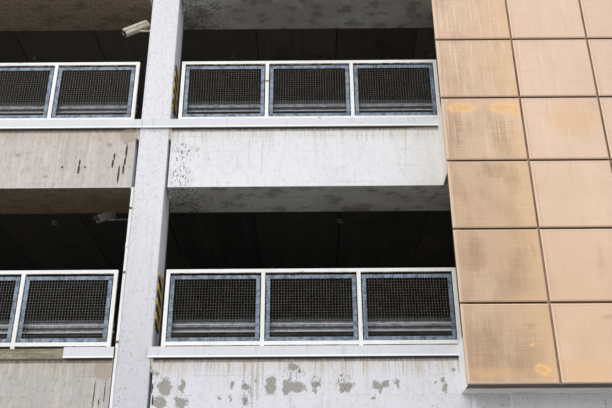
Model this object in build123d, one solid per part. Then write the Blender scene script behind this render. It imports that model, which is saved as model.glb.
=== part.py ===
"""Multi storey car park: a six bay length with precast edge beams, mesh railings and a tan clad end.

Millimetres. X runs along the front seen from outside, Y runs into the building, Z is up.
The origin is the middle of the underside of the ground slab.
"""
from build123d import *
import os

# Grid of columns
front_bays = (3600, 3840, 3840, 3960, 3840, 3480)
side_bay = 3840
side_bay_count = 4
column_width = 370
column_depth = 475

# Storeys: the deck surface of each level above the underside of the ground slab
ground_slab = 150
ground_storey = 3880
storey = 3000
raised_levels = 3

# Edge beams, measured down from the deck surface
beam_width = 600
beam_bottom = 803
ledge_top = 280
ledge_width = 130
end_beam_width = 370
joint_left = 36
joint_right = 52
joint_depth = 300
inner_stem = 350
screed = 80
joint_fill_bottom = 137
joint_fill_inset = 6
joint_fill_depth = 60

# Floor planks
plank_pitch = 1280
plank_joint = 12
plank_offset = 130

# Kerb and folded metal coping
kerb_width = 200
kerb_height = 165
metal = 4
coping_skirt_bottom = 47
coping_projection = 34
coping_lip = 18
coping_tail = 40
coping_overrun = 32
coping_setback = 42
coping_clad_reach = 10
coping_joint = 4
coping_joint_offset = 162
coping_remnant = 565

# White railing frames: the gaps are the clear widths left and right of the frame in its bay
rail_gaps = (94, 81)
rail_gaps_left_of_middle = (45, 106)
rail_set_back = 52
rail_top = 1130
rail_bar = 47
rail_post = 47
rail_depth = 34
rail_lift = 35
panels_per_bay = 3

# Galvanised mesh panels inside the railing frames, hung on two straps each
mesh_side_gap = 13
mesh_top_gap = 30
mesh_bottom_gap = 3
mesh_bar = 46
mesh_bar_depth = 16
mesh_set_back = 8
mesh_thickness = 4
strap_height = 40
strap_thickness = 6

# Crash barrier behind each railing: a middle ridge with a hollow above and below it
barrier_height = 155
barrier_centre = 458
barrier_ridge = 16
barrier_hollow = (32, 50)
barrier_depth = 30
barrier_steel = 4
barrier_spacer = 44

# Yellow and black guards on the sides of the columns
guard_start = 70
guard_width = 240
guard_bottom = 420
guard_height = 680
guard_thickness = 12

# Tan cladding over the last bays of the front
clad_bays = 2
clad_left_inset = 349
clad_first = 976
clad_pitch = 970
clad_columns = 8
clad_rows = 9
clad_row = 891
clad_bottom = 3654
clad_gap = 25
clad_projection = 450
clad_thickness = 40
clad_bevel = 12
clad_plate_inset = 14
frame_bar = 60
frame_plate = 6
bracket_height = 120
bracket_drop = 250

# Down pipe beside the middle column
pipe_diameter = 38
pipe_wall = 3
pipe_above_ground = 120
pipe_forward = 14
clip_height = 30
clip_thickness = 4
clip_ear = 20
clip_pitch = 840
clip_below_beam = 285

# Cameras on the middle column. Each place is the distance of the housing's middle from the column,
# from the front and below the beam. Each aim is the turn inwards and the tilt in degrees.
camera_width = 90
camera_corner = 20
camera_hood = 16
camera_hood_thickness = 8
camera_lens = 34
camera_arm = 26
camera_arm_drop = 38
camera_plate = 90
camera_plate_thickness = 8
upper_camera_length = 370
upper_camera_place = (226, 172, 420)
upper_camera_aim = (14, 35)
lower_camera_length = 270
lower_camera_place = (400, 322, 251)
lower_camera_aim = (50, 32)

# Round ceiling lights in one line on each ceiling: their pitch and where one of them hangs
light_diameter = 120
light_height = 50
light_rim = 16
light_line = 2100
light_reach = 9480
light_grids = ((4270, 2440), (4270, 2440), (3275, 730))

# Vehicle entrances: the bays of the front, from the left, that have no kerb at ground level
entrance_bays = (1, 2)

# Places worked out from the sizes above
half_column = column_width / 2
bay_count = len(front_bays)
middle = bay_count // 2
half_length = sum(front_bays) / 2 + half_column
depth = side_bay_count * side_bay + beam_width
y_front = (clad_projection - coping_projection - depth) / 2
y_rear = y_front + depth
y_middle = (y_front + y_rear) / 2
deck_levels = [ground_slab + ground_storey + storey * k for k in range(raised_levels)]
all_levels = [ground_slab] + deck_levels
roof_level = deck_levels[-1]
column_top = roof_level + kerb_height
column_x = [sum(front_bays[:k]) - half_length + half_column for k in range(bay_count + 1)]
side_y = [side_bay * (k - side_bay_count / 2) for k in range(side_bay_count + 1)]
corner_half = column_depth - beam_width / 2
side_half = [corner_half] + [half_column] * (side_bay_count - 1) + [corner_half]
clad_left = column_x[bay_count - clad_bays] - clad_left_inset
clad_right = clad_left + clad_first + (clad_columns - 1) * clad_pitch
clad_back = clad_thickness - clad_projection


def brick(x, y, z):
    """Return a box between the low and high ends given for each direction."""
    size = [pair[1] - pair[0] for pair in (x, y, z)]
    centre = [(pair[0] + pair[1]) / 2 for pair in (x, y, z)]
    return Pos(*centre) * Box(*size)


def along_x(points, start, end):
    """Return the outline given as (y, z) points, drawn out along X from start to end."""
    plane = Plane(origin=(start, 0, 0), x_dir=(0, 1, 0), z_dir=(1, 0, 0))
    return extrude(plane * make_face(Polyline(*points, close=True)), end - start)


def save(name, solids):
    """Write one node: its solids lie side by side in one file."""
    export_step(Compound(children=list(solids)), os.path.join("parts", name + ".step"))


# The four sides. Each is drawn as if seen from outside: x to the right, y into the building.
front_place = Pos(0, y_front, 0)
rear_place = Pos(0, y_rear, 0) * Rot(0, 0, 180)
left_place = Pos(-half_length, y_middle, 0) * Rot(0, 0, -90)
right_place = Pos(half_length, y_middle, 0) * Rot(0, 0, 90)

long_spans = [(column_x[k] + half_column, column_x[k + 1] - half_column) for k in range(bay_count)]
side_spans = [(side_y[k] + side_half[k], side_y[k + 1] - side_half[k + 1]) for k in range(side_bay_count)]
end_places = [left_place, right_place]


def placed(place, solids):
    """Return the solids of one side, moved to where that side stands."""
    return [place * solid for solid in solids]


def long_columns(place):
    """Columns of the front or rear, from the ground slab to the roof kerb."""
    return [
        place * brick((x - half_column, x + half_column), (0, column_depth), (ground_slab, column_top))
        for x in column_x
    ]


def end_columns():
    """Columns between the corners of both ends."""
    posts = [
        brick((y - half_column, y + half_column), (0, end_beam_width), (ground_slab, column_top))
        for y in side_y[1:-1]
    ]
    return [place * post for place in end_places for post in posts]


def inner_columns():
    """The row of columns half way back, under the roof planks."""
    return [
        brick(
            (x - half_column, x + half_column),
            (y_middle - half_column, y_middle + half_column),
            (ground_slab, roof_level - screed),
        )
        for x in column_x[1:-1]
    ]


def long_beam(k, level):
    """One edge beam of the front or rear, with the ledge that the planks lie on.

    Its face stops short of the columns, its middle meets them and its back passes behind them.
    """
    x0, x1 = long_spans[k]
    low = level - beam_bottom
    body = brick((x0, x1), (0, beam_width), (low, level))
    back_x0 = x0 if k == 0 else column_x[k]
    back_x1 = x1 if k == bay_count - 1 else column_x[k + 1]
    body += brick((back_x0, back_x1), (column_depth, beam_width), (low, level))
    ledge = brick((back_x0, back_x1), (beam_width, beam_width + ledge_width), (low, level - ledge_top))
    left = brick((x0, x0 + joint_left), (0, joint_depth), (low, level))
    right = brick((x1 - joint_right, x1), (0, joint_depth), (low, level))
    return body + ledge - left - right


def long_beams(place, level):
    """The edge beams of one long side at one level."""
    return placed(place, [long_beam(k, level) for k in range(bay_count)])


def end_beams(level):
    """The edge beams of both ends at one level, between their columns."""
    low = level - beam_bottom
    beams = []
    for x0, x1 in side_spans:
        beam = brick((x0, x1), (0, end_beam_width), (low, level))
        beam -= brick((x0, x0 + joint_left), (0, joint_depth), (low, level))
        beam -= brick((x1 - joint_right, x1), (0, joint_depth), (low, level))
        beams.append(beam)
    return [place * beam for place in end_places for beam in beams]


def inner_beams(level):
    """The beams half way back: a stem with a ledge on both sides."""
    low = level - beam_bottom
    half_stem = inner_stem / 2
    outline = [
        (y_middle - half_stem - ledge_width, low),
        (y_middle + half_stem + ledge_width, low),
        (y_middle + half_stem + ledge_width, level - ledge_top),
        (y_middle + half_stem, level - ledge_top),
        (y_middle + half_stem, level - screed),
        (y_middle - half_stem, level - screed),
        (y_middle - half_stem, level - ledge_top),
        (y_middle - half_stem - ledge_width, level - ledge_top),
    ]
    return [along_x(outline, x0, x1) for x0, x1 in long_spans]


def plank_edges():
    """Return the X positions of the joints between planks, from end beam to end beam."""
    limit = half_length - end_beam_width
    count = int(limit / plank_pitch)
    inner = [k * plank_pitch - plank_offset for k in range(-count, count + 1)]
    return [-limit] + inner + [limit]


def planks(level):
    """Floor planks from the front beams to the inner beams, and from there to the rear beams."""
    edges = plank_edges()
    half_gap = plank_joint / 2
    z = (level - ledge_top, level - screed)
    spans = [
        (y_front + beam_width, y_middle - inner_stem / 2),
        (y_middle + inner_stem / 2, y_rear - beam_width),
    ]
    solids = []
    for y0, y1 in spans:
        for k in range(len(edges) - 1):
            x0 = edges[k] + (half_gap if k else 0)
            x1 = edges[k + 1] - (half_gap if k < len(edges) - 2 else 0)
            solids.append(brick((x0, x1), (y0, y1), z))
    return solids


def deck(level):
    """Screed over the planks, with the inner columns passing through below the roof."""
    reach = half_length - end_beam_width
    slab = brick((-reach, reach), (y_front + beam_width, y_rear - beam_width), (level - screed, level))
    if level < roof_level:
        for x in column_x[1:-1]:
            slab -= brick(
                (x - half_column, x + half_column),
                (y_middle - half_column, y_middle + half_column),
                (level - screed, level),
            )
    return [slab]


def ground():
    """Ground slab under the whole building, with a sloped edge at the vehicle entrances."""
    slab = brick((-half_length, half_length), (y_front, y_rear), (0, ground_slab))
    for k in entrance_bays:
        x0, x1 = long_spans[k]
        slope = [(y_front, 0), (y_front, ground_slab), (y_front + beam_width, ground_slab)]
        slab -= along_x(slope, x0, x1)
    return [slab]


def kerb(span, level):
    """Upstand along the outer edge of one bay."""
    x0, x1 = span
    return brick((x0 + joint_left, x1 - joint_right), (0, kerb_width), (level, level + kerb_height))


def front_spans(level):
    """Return the numbers of the front bays that have a kerb and railing at this level."""
    return [k for k in range(bay_count) if level > ground_slab or k not in entrance_bays]


def front_kerbs(level):
    """Kerbs of the front at one level."""
    return placed(front_place, [kerb(long_spans[k], level) for k in front_spans(level)])


def rear_kerbs(level):
    """Kerbs of the rear at one level."""
    return placed(rear_place, [kerb(span, level) for span in long_spans])


def end_kerbs(level):
    """Kerbs of both ends at one level."""
    return [place * kerb(span, level) for place in end_places for span in side_spans]


def joint_mortar():
    """Mortar in the joints of the front: behind the cladding in their whole height, elsewhere at their top.

    The joint that the pipe runs in has none at the first level.
    """
    y = (joint_fill_inset, joint_fill_inset + joint_fill_depth)
    first_clad_column = bay_count - clad_bays
    solids = []
    for level in deck_levels:
        whole = (level - beam_bottom, level + kerb_height)
        head = (level - joint_fill_bottom, level + kerb_height)
        for k, (x0, x1) in enumerate(long_spans):
            solids.append(brick((x0, x0 + joint_left), y, whole if k >= first_clad_column else head))
            if level > deck_levels[0] or k != middle - 1:
                right = whole if k + 1 >= first_clad_column else head
                solids.append(brick((x1 - joint_right, x1), y, right))
    return placed(front_place, solids)


def coping_outline(level):
    """Return the (y, z) outline of the folded metal that caps a kerb.

    A front skirt with a small lip stands clear of the wall, and the tail turns down behind the kerb.
    """
    top = level + kerb_height + metal
    foot = level + coping_skirt_bottom
    tail = top - coping_tail
    out = -coping_projection
    back = kerb_width + metal
    return [
        (out, top), (back, top), (back, tail), (kerb_width, tail), (kerb_width, top - metal),
        (out + metal, top - metal), (out + metal, foot + metal), (out + coping_lip, foot + metal),
        (out + coping_lip, foot), (out, foot),
    ]


def coping_skirt(start, end, level):
    """The front skirt alone, where the coping passes a column."""
    foot = level + coping_skirt_bottom
    top = level + kerb_height + metal
    out = -coping_projection
    outline = [
        (out, foot), (out + coping_lip, foot), (out + coping_lip, foot + metal),
        (out + metal, foot + metal), (out + metal, top - metal), (0, top - metal), (0, top), (out, top),
    ]
    return along_x(outline, start, end)


def coping(span, start, end, level):
    """Coping over one bay, whose skirt runs from start to end and may pass the columns."""
    x0, x1 = span
    piece = along_x(coping_outline(level), max(x0, start), min(x1, end))
    if start < x0:
        piece += coping_skirt(start, x0, level)
    if end > x1:
        piece += coping_skirt(x1, end, level)
    return piece


def long_copings(level, corner_reach):
    """Copings of a long side. Above the first level they run past the columns.

    At the first level and on the ground they stop beside the columns.
    """
    pieces = []
    for k, (x0, x1) in enumerate(long_spans):
        if level > deck_levels[0]:
            start = column_x[k] - coping_joint_offset + coping_joint
            end = column_x[k + 1] - coping_joint_offset
            start = -half_length - corner_reach if k == 0 else start
            end = half_length + corner_reach if k == bay_count - 1 else end
        else:
            start = x0 - coping_overrun
            end = x1 - coping_setback
        pieces.append(coping((x0, x1), start, end, level))
    return pieces


def front_copings(level, corner_reach):
    """Front copings, where most of the strip left of the middle column is lost at the first level."""
    pieces = long_copings(level, corner_reach)
    if level == deck_levels[0]:
        x0, x1 = long_spans[middle - 1]
        end = x1 - coping_setback
        pieces[middle - 1] = coping((x0, x1), end - coping_remnant, end, level)
        beside = bay_count - clad_bays - 1
        x0, x1 = long_spans[beside]
        pieces[beside] = coping((x0, x1), x0 - coping_overrun, x1 + coping_clad_reach, level)
    return placed(front_place, [pieces[k] for k in front_spans(level)])


def end_copings(level):
    """Copings of both ends, which stop beside the columns at the first level."""
    pieces = []
    for k, (x0, x1) in enumerate(side_spans):
        if level > deck_levels[0]:
            start = side_y[k] + coping_joint / 2 if k else -depth / 2
            end = side_y[k + 1] - coping_joint / 2 if k < side_bay_count - 1 else depth / 2
        else:
            start = x0 - coping_overrun
            end = x1 + coping_overrun
        pieces.append(coping((x0, x1), start, end, level))
    return [place * piece for place in end_places for piece in pieces]


def rear_copings(level, corner_reach):
    """Copings of the rear, with none lost."""
    return placed(rear_place, long_copings(level, corner_reach))


def panel_ranges(span, gaps):
    """Return the clear width of each railing panel of a bay, between its posts."""
    start = span[0] + gaps[0]
    end = span[1] - gaps[1]
    pitch = (end - start - rail_post) / panels_per_bay
    return [
        (start + rail_post + k * pitch, start + (k + 1) * pitch)
        for k in range(panels_per_bay)
    ]


def panel_heights(level):
    """Return the bottom and top of the clear space inside a railing frame."""
    foot = level + kerb_height + metal
    return foot + rail_lift + rail_bar, level + rail_top - rail_bar


def railing(span, gaps, level):
    """White frame of one bay: posts down to the coping, a top rail and a bottom rail."""
    start = span[0] + gaps[0]
    end = span[1] - gaps[1]
    foot = level + kerb_height + metal
    low, high = panel_heights(level)
    y = (rail_set_back, rail_set_back + rail_depth)
    frame = brick((start, end), y, (high, level + rail_top))
    frame += brick((start, end), y, (low - rail_bar, low))
    lefts = [x1 for x0, x1 in panel_ranges(span, gaps)]
    for x in [start] + lefts:
        frame += brick((x, x + rail_post), y, (foot, level + rail_top))
    return frame


def mesh_panel(clear, level):
    """Galvanised frame and wire mesh of one railing panel, on two straps between the posts."""
    low, high = panel_heights(level)
    x = (clear[0] + mesh_side_gap, clear[1] - mesh_side_gap)
    z = (low + mesh_bottom_gap, high - mesh_top_gap)
    y0 = rail_set_back + mesh_set_back
    y1 = y0 + mesh_bar_depth
    inner_x = (x[0] + mesh_bar, x[1] - mesh_bar)
    inner_z = (z[0] + mesh_bar, z[1] - mesh_bar)
    panel = brick(x, (y0, y1), z) - brick(inner_x, (y0, y1 - mesh_thickness), inner_z)
    strap_y = (y1 - strap_thickness, y1)
    panel += brick(clear, strap_y, (z[0], z[0] + strap_height))
    panel += brick(clear, strap_y, (z[1] - strap_height, z[1]))
    return panel


def barrier_beam(start, end, level):
    """Folded beam of a crash barrier, with its two flutes towards the parked side."""
    half = barrier_height / 2
    low, high = barrier_hollow
    y0 = rail_set_back + rail_depth + barrier_spacer
    y1 = y0 + barrier_depth
    centre = level + barrier_centre
    outer = [
        (y0, centre - half), (y1, centre - high), (y1, centre - low), (y0, centre - barrier_ridge),
        (y0, centre + barrier_ridge), (y1, centre + low), (y1, centre + high), (y0, centre + half),
    ]
    inner = [(y + barrier_steel, z) for y, z in reversed(outer)]
    return along_x(outer + inner, start, end)


def barrier_posts(span, gaps, level):
    """Posts of the crash barrier, on the coping behind the railing posts between two panels."""
    y0 = rail_set_back + rail_depth
    z = (level + kerb_height + metal, level + barrier_centre + barrier_ridge)
    places = [x1 for x0, x1 in panel_ranges(span, gaps)[:-1]]
    return [brick((x, x + rail_post), (y0, y0 + barrier_spacer), z) for x in places]


def fence(place, spans, level):
    """Return the railings, mesh panels, barrier beams and barrier posts of one side at one level.

    The spans are given with the gaps left and right of their railings.
    """
    rails = [railing(span, gaps, level) for span, gaps in spans]
    panels = [mesh_panel(clear, level) for span, gaps in spans for clear in panel_ranges(span, gaps)]
    beams = [barrier_beam(span[0] + gaps[0], span[1] - gaps[1], level) for span, gaps in spans]
    posts = [post for span, gaps in spans for post in barrier_posts(span, gaps, level)]
    return [placed(place, solids) for solids in (rails, panels, beams, posts)]


def front_fence(level):
    """Return the pieces of the front's fence at one level."""
    spans = [
        (long_spans[k], rail_gaps_left_of_middle if k == middle - 1 else rail_gaps)
        for k in front_spans(level)
    ]
    return fence(front_place, spans, level)


def other_fence(place, spans, level):
    """Return the pieces of another side's fence at one level."""
    return fence(place, [(span, rail_gaps) for span in spans], level)


def guards():
    """Guards on both sides of the front and rear columns at the raised decks below the roof."""
    solids = []
    for place in (front_place, rear_place):
        for level in deck_levels[:-1]:
            z = (level + guard_bottom, level + guard_bottom + guard_height)
            y = (guard_start, guard_start + guard_width)
            for x0, x1 in long_spans:
                solids.append(place * brick((x0, x0 + guard_thickness), y, z))
                solids.append(place * brick((x1 - guard_thickness, x1), y, z))
    return solids


def clad_edges():
    """Return the X positions of the vertical joints of the cladding, with its two ends."""
    return [clad_left] + [clad_left + clad_first + k * clad_pitch for k in range(clad_columns)]


def clad_panels():
    """Tan panels with bevelled edges, on a grid of open joints."""
    edges = clad_edges()
    half_gap = clad_gap / 2
    solids = []
    for column in range(clad_columns):
        x0 = edges[column] + (half_gap if column else 0)
        x1 = edges[column + 1] - (half_gap if column < clad_columns - 1 else 0)
        for row in range(clad_rows):
            z0 = clad_bottom + row * clad_row + (half_gap if row else 0)
            z1 = clad_bottom + (row + 1) * clad_row - (half_gap if row < clad_rows - 1 else 0)
            panel = brick((x0, x1), (-clad_projection, clad_back), (z0, z1))
            rim = panel.faces().sort_by(Axis.Y)[0].edges()
            solids.append(chamfer(rim, clad_bevel))
    return placed(front_place, solids)


def clad_mullions():
    """Upright bars behind the vertical joints of the cladding, and beside the plates at its two ends."""
    top = clad_bottom + clad_rows * clad_row
    edges = clad_edges()
    half_bar = frame_bar / 2
    end_inset = clad_plate_inset + frame_plate + half_bar
    centres = [edges[0] + end_inset] + edges[1:-1] + [edges[-1] - end_inset]
    y = (clad_back, clad_back + frame_bar)
    bars = [brick((x - half_bar, x + half_bar), y, (clad_bottom + frame_plate, top)) for x in centres]
    return centres, placed(front_place, bars)


def clad_brackets(centres):
    """Brackets from the edge beams and columns out to the upright bars."""
    y = (clad_back + frame_bar, 0)
    solids = []
    for level in deck_levels:
        z = (level - bracket_drop - bracket_height / 2, level - bracket_drop + bracket_height / 2)
        for x in centres:
            solids.append(brick((x - frame_bar / 2, x + frame_bar / 2), y, z))
    return placed(front_place, solids)


def clad_casing():
    """Plates that close the underside of the cladding, and its two ends at the height of each beam."""
    left = clad_left + clad_plate_inset
    right = clad_right - clad_plate_inset
    solids = [brick((left, right), (clad_back, 0), (clad_bottom, clad_bottom + frame_plate))]
    for level in deck_levels:
        low = max(level - beam_bottom, clad_bottom + frame_plate)
        skirt = level + coping_skirt_bottom
        for x in (left, right - frame_plate):
            plate = brick((x, x + frame_plate), (clad_back, 0), (low, skirt))
            above = (skirt, level + kerb_height)
            plate += brick((x, x + frame_plate), (clad_back, -coping_projection), above)
            solids.append(plate)
    return placed(front_place, solids)


def pipe_centre():
    """Return the x and y of the pipe, which touches the left face of the middle column."""
    return column_x[middle] - half_column - pipe_diameter / 2, pipe_diameter / 2 - pipe_forward


def pipe():
    """White pipe down the left edge of the middle column, through the open joint of the first level."""
    x, y = pipe_centre()
    bottom = ground_slab + pipe_above_ground
    top = deck_levels[1] - beam_bottom
    tube = Cylinder(pipe_diameter / 2, top - bottom) - Cylinder(pipe_diameter / 2 - pipe_wall, top - bottom)
    return [front_place * Pos(x, y, (top + bottom) / 2) * tube]


def pipe_clip():
    """Strap round the pipe with one flat ear on the face of the column, drawn round the pipe's axis."""
    radius = pipe_diameter / 2
    outer = radius + clip_thickness
    flat = radius - clip_thickness
    half_height = clip_height / 2
    ring = Cylinder(outer, clip_height) - Cylinder(radius, clip_height)
    ring -= brick((flat, outer), (-outer, outer), (-half_height, half_height))
    inner = (radius**2 - flat**2) ** 0.5
    ear = brick((flat, radius), (inner, outer + clip_ear), (-half_height, half_height))
    return ring + ear


def pipe_clips():
    """Straps that hold the pipe to the column, but for the stretch inside the open joint."""
    x, y = pipe_centre()
    solids = []
    z = deck_levels[1] - beam_bottom - clip_below_beam
    joint_foot = deck_levels[0] - beam_bottom - clip_height
    joint_head = deck_levels[0] + kerb_height + clip_height
    while z > ground_slab + pipe_above_ground + clip_pitch / 2:
        if not joint_foot < z < joint_head:
            solids.append(front_place * Pos(x, y, z) * pipe_clip())
        z -= clip_pitch
    return solids


def camera(place, aim, length, level):
    """Camera housing on an arm and a plate, fixed to the left face of the middle column."""
    from_column, camera_depth, below_beam = place
    pan, tilt = aim
    face = column_x[middle] - half_column
    x = face - from_column
    z = level - beam_bottom - below_beam
    body = Box(length, camera_width, camera_width)
    body = fillet(body.edges().filter_by(Axis.X), camera_corner)
    hood_height = camera_width / 2 + camera_hood_thickness / 2
    hood = Box(length, camera_width + camera_hood, camera_hood_thickness)
    lens = Pos(-length / 2, 0, 0) * Rot(0, 90, 0) * Cylinder(camera_lens, camera_hood)
    housing = body + Pos(-camera_hood, 0, hood_height) * hood + lens
    head = Pos(x, camera_depth, z) * Rot(0, 0, pan) * Rot(0, -tilt, 0) * housing
    half_plate = camera_plate / 2
    half_arm = camera_arm / 2
    foot = z - camera_arm_drop
    plate = brick(
        (face - camera_plate_thickness, face),
        (camera_depth - half_plate, camera_depth + half_plate),
        (foot - half_plate, foot + half_plate),
    )
    arm_y = (camera_depth - half_arm, camera_depth + half_arm)
    arm = brick((x, face), arm_y, (foot - half_arm, foot + half_arm))
    return [front_place * (head + arm + plate)]


def light(x, level):
    """One round light with a rounded lower rim, under the planks of a level."""
    dome = Cylinder(light_diameter / 2, light_height)
    dome = fillet(dome.edges().group_by(Axis.Z)[0], light_rim)
    return front_place * Pos(x, light_line, level - ledge_top - light_height / 2) * dome


def lights():
    """Round lights in one line on each ceiling."""
    solids = []
    for level, (pitch, anchor) in zip(deck_levels, light_grids):
        x = anchor - pitch * int((light_reach + anchor) / pitch)
        while x < light_reach:
            solids.append(light(x, level))
            x += pitch
    return solids


def every_level(make, levels, *options):
    """Return the solids that make builds at each of the levels."""
    return [solid for level in levels for solid in make(level, *options)]


def save_structure():
    """Write the nodes that carry the building."""
    save("ground_slab", ground())
    save("front_columns", long_columns(front_place))
    save("rear_columns", long_columns(rear_place))
    save("end_columns", end_columns())
    save("inner_columns", inner_columns())
    save("front_beams", [beam for level in deck_levels for beam in long_beams(front_place, level)])
    save("rear_beams", [beam for level in deck_levels for beam in long_beams(rear_place, level)])
    save("end_beams", every_level(end_beams, deck_levels))
    save("inner_beams", every_level(inner_beams, deck_levels))
    for k, level in enumerate(deck_levels, 1):
        save(f"floor_planks_{k}", planks(level))
        save(f"deck_{k}", deck(level))


def save_edges():
    """Write the kerbs and copings, with the mortar beside the beams."""
    save("joint_mortar", joint_mortar())
    save("front_kerbs", every_level(front_kerbs, all_levels))
    save("rear_kerbs", every_level(rear_kerbs, all_levels))
    save("end_kerbs", every_level(end_kerbs, all_levels))
    save("front_copings", every_level(front_copings, all_levels, coping_projection))
    save("rear_copings", every_level(rear_copings, all_levels, coping_projection))
    save("end_copings", every_level(end_copings, all_levels))


def save_fences():
    """Write the railing frames and mesh panels of each side, and the crash barriers of all sides."""
    sides = {
        "front": [front_fence(level) for level in all_levels],
        "rear": [other_fence(rear_place, long_spans, level) for level in all_levels],
        "left": [other_fence(left_place, side_spans, level) for level in all_levels],
        "right": [other_fence(right_place, side_spans, level) for level in all_levels],
    }
    all_beams, all_posts = [], []
    for side, floors in sides.items():
        save(f"{side}_railings", [rail for rails, panels, beams, posts in floors for rail in rails])
        save(f"{side}_mesh_panels", [panel for rails, panels, beams, posts in floors for panel in panels])
        all_beams += [beam for rails, panels, beams, posts in floors for beam in beams]
        all_posts += [post for rails, panels, beams, posts in floors for post in posts]
    save("barrier_beams", all_beams)
    save("barrier_posts", all_posts)


def save_fittings():
    """Write the cladding and the small pieces fixed to the building."""
    save("cladding_panels", clad_panels())
    centres, bars = clad_mullions()
    save("cladding_mullions", bars)
    save("cladding_brackets", clad_brackets(centres))
    save("cladding_casing", clad_casing())
    save("column_guards", guards())
    save("down_pipe", pipe())
    save("pipe_clips", pipe_clips())
    upper = camera(upper_camera_place, upper_camera_aim, upper_camera_length, deck_levels[2])
    lower = camera(lower_camera_place, lower_camera_aim, lower_camera_length, deck_levels[1])
    save("upper_camera", upper)
    save("lower_camera", lower)
    save("ceiling_lights", lights())


os.makedirs("parts", exist_ok=True)
save_structure()
save_edges()
save_fences()
save_fittings()
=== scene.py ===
"""Looks of a worn multi storey car park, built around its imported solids.

Metres. X runs along the front, Y into the building and Z up from the underside of the ground slab.
"""

import logging
import math
from dataclasses import dataclass
from enum import Enum
from typing import Any, Dict, List, Optional, Sequence, Tuple, Union

import bmesh
import bpy
from mathutils import Matrix, Vector, noise


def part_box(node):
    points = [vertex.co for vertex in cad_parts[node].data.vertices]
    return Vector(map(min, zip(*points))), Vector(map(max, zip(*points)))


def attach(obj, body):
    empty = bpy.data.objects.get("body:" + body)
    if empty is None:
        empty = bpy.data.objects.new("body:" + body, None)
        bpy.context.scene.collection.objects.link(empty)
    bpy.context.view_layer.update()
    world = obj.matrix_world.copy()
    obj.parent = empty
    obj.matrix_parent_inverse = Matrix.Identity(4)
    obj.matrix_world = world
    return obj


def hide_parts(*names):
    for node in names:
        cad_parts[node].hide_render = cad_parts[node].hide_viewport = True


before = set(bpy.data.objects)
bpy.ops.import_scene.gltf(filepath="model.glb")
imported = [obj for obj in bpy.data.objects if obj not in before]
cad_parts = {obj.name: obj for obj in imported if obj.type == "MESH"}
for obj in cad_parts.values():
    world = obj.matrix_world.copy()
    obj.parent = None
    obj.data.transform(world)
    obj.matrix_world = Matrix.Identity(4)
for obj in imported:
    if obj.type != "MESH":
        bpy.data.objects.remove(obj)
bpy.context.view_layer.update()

log = logging.getLogger("car_park")

Colour = Tuple[float, float, float]
Patch = Tuple[float, float, float, float]
Socket = bpy.types.NodeSocket
Value = Union[Socket, float]
Paint = Union[Socket, Colour]

# Faces and spacings of the building. Every coping's foot lies COPING_FOOT above a whole number of storeys.
FRONT_FACE = -7.772
REAR_FACE = 8.188
MIDDLE_DEPTH = 0.208
MIDDLE_FACE = -0.185
BAY = 3.84
WIDE_BAY = 3.96
STOREY = 3.0
COPING_FOOT = 1.03 + 0.047
CLADDING_FOOT = 3.654
PANEL_HEIGHT = 0.891

MERGE_DISTANCE = 0.00001


def tone(red: float, green: float, blue: float) -> Colour:
    """Turn a colour as the eye reads it into the light it sends back.

    Args:
        red, green, blue: the colour in steps of 0 to 255.

    Returns:
        The linear colour.
    """
    steps = [value / 255 for value in (red, green, blue)]
    linear = [v / 12.92 if v <= 0.04045 else ((v + 0.055) / 1.055) ** 2.4 for v in steps]
    return linear[0], linear[1], linear[2]


class Side(Enum):
    """The sides of the building, each with its turn from the front in degrees."""

    FRONT = 0
    REAR = 180
    LEFT = -90
    RIGHT = 90

    def turn(self) -> Matrix:
        """Return the turn about Z that brings a piece drawn for the front to this side."""
        return Matrix.Rotation(math.radians(self.value), 4, "Z")


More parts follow.
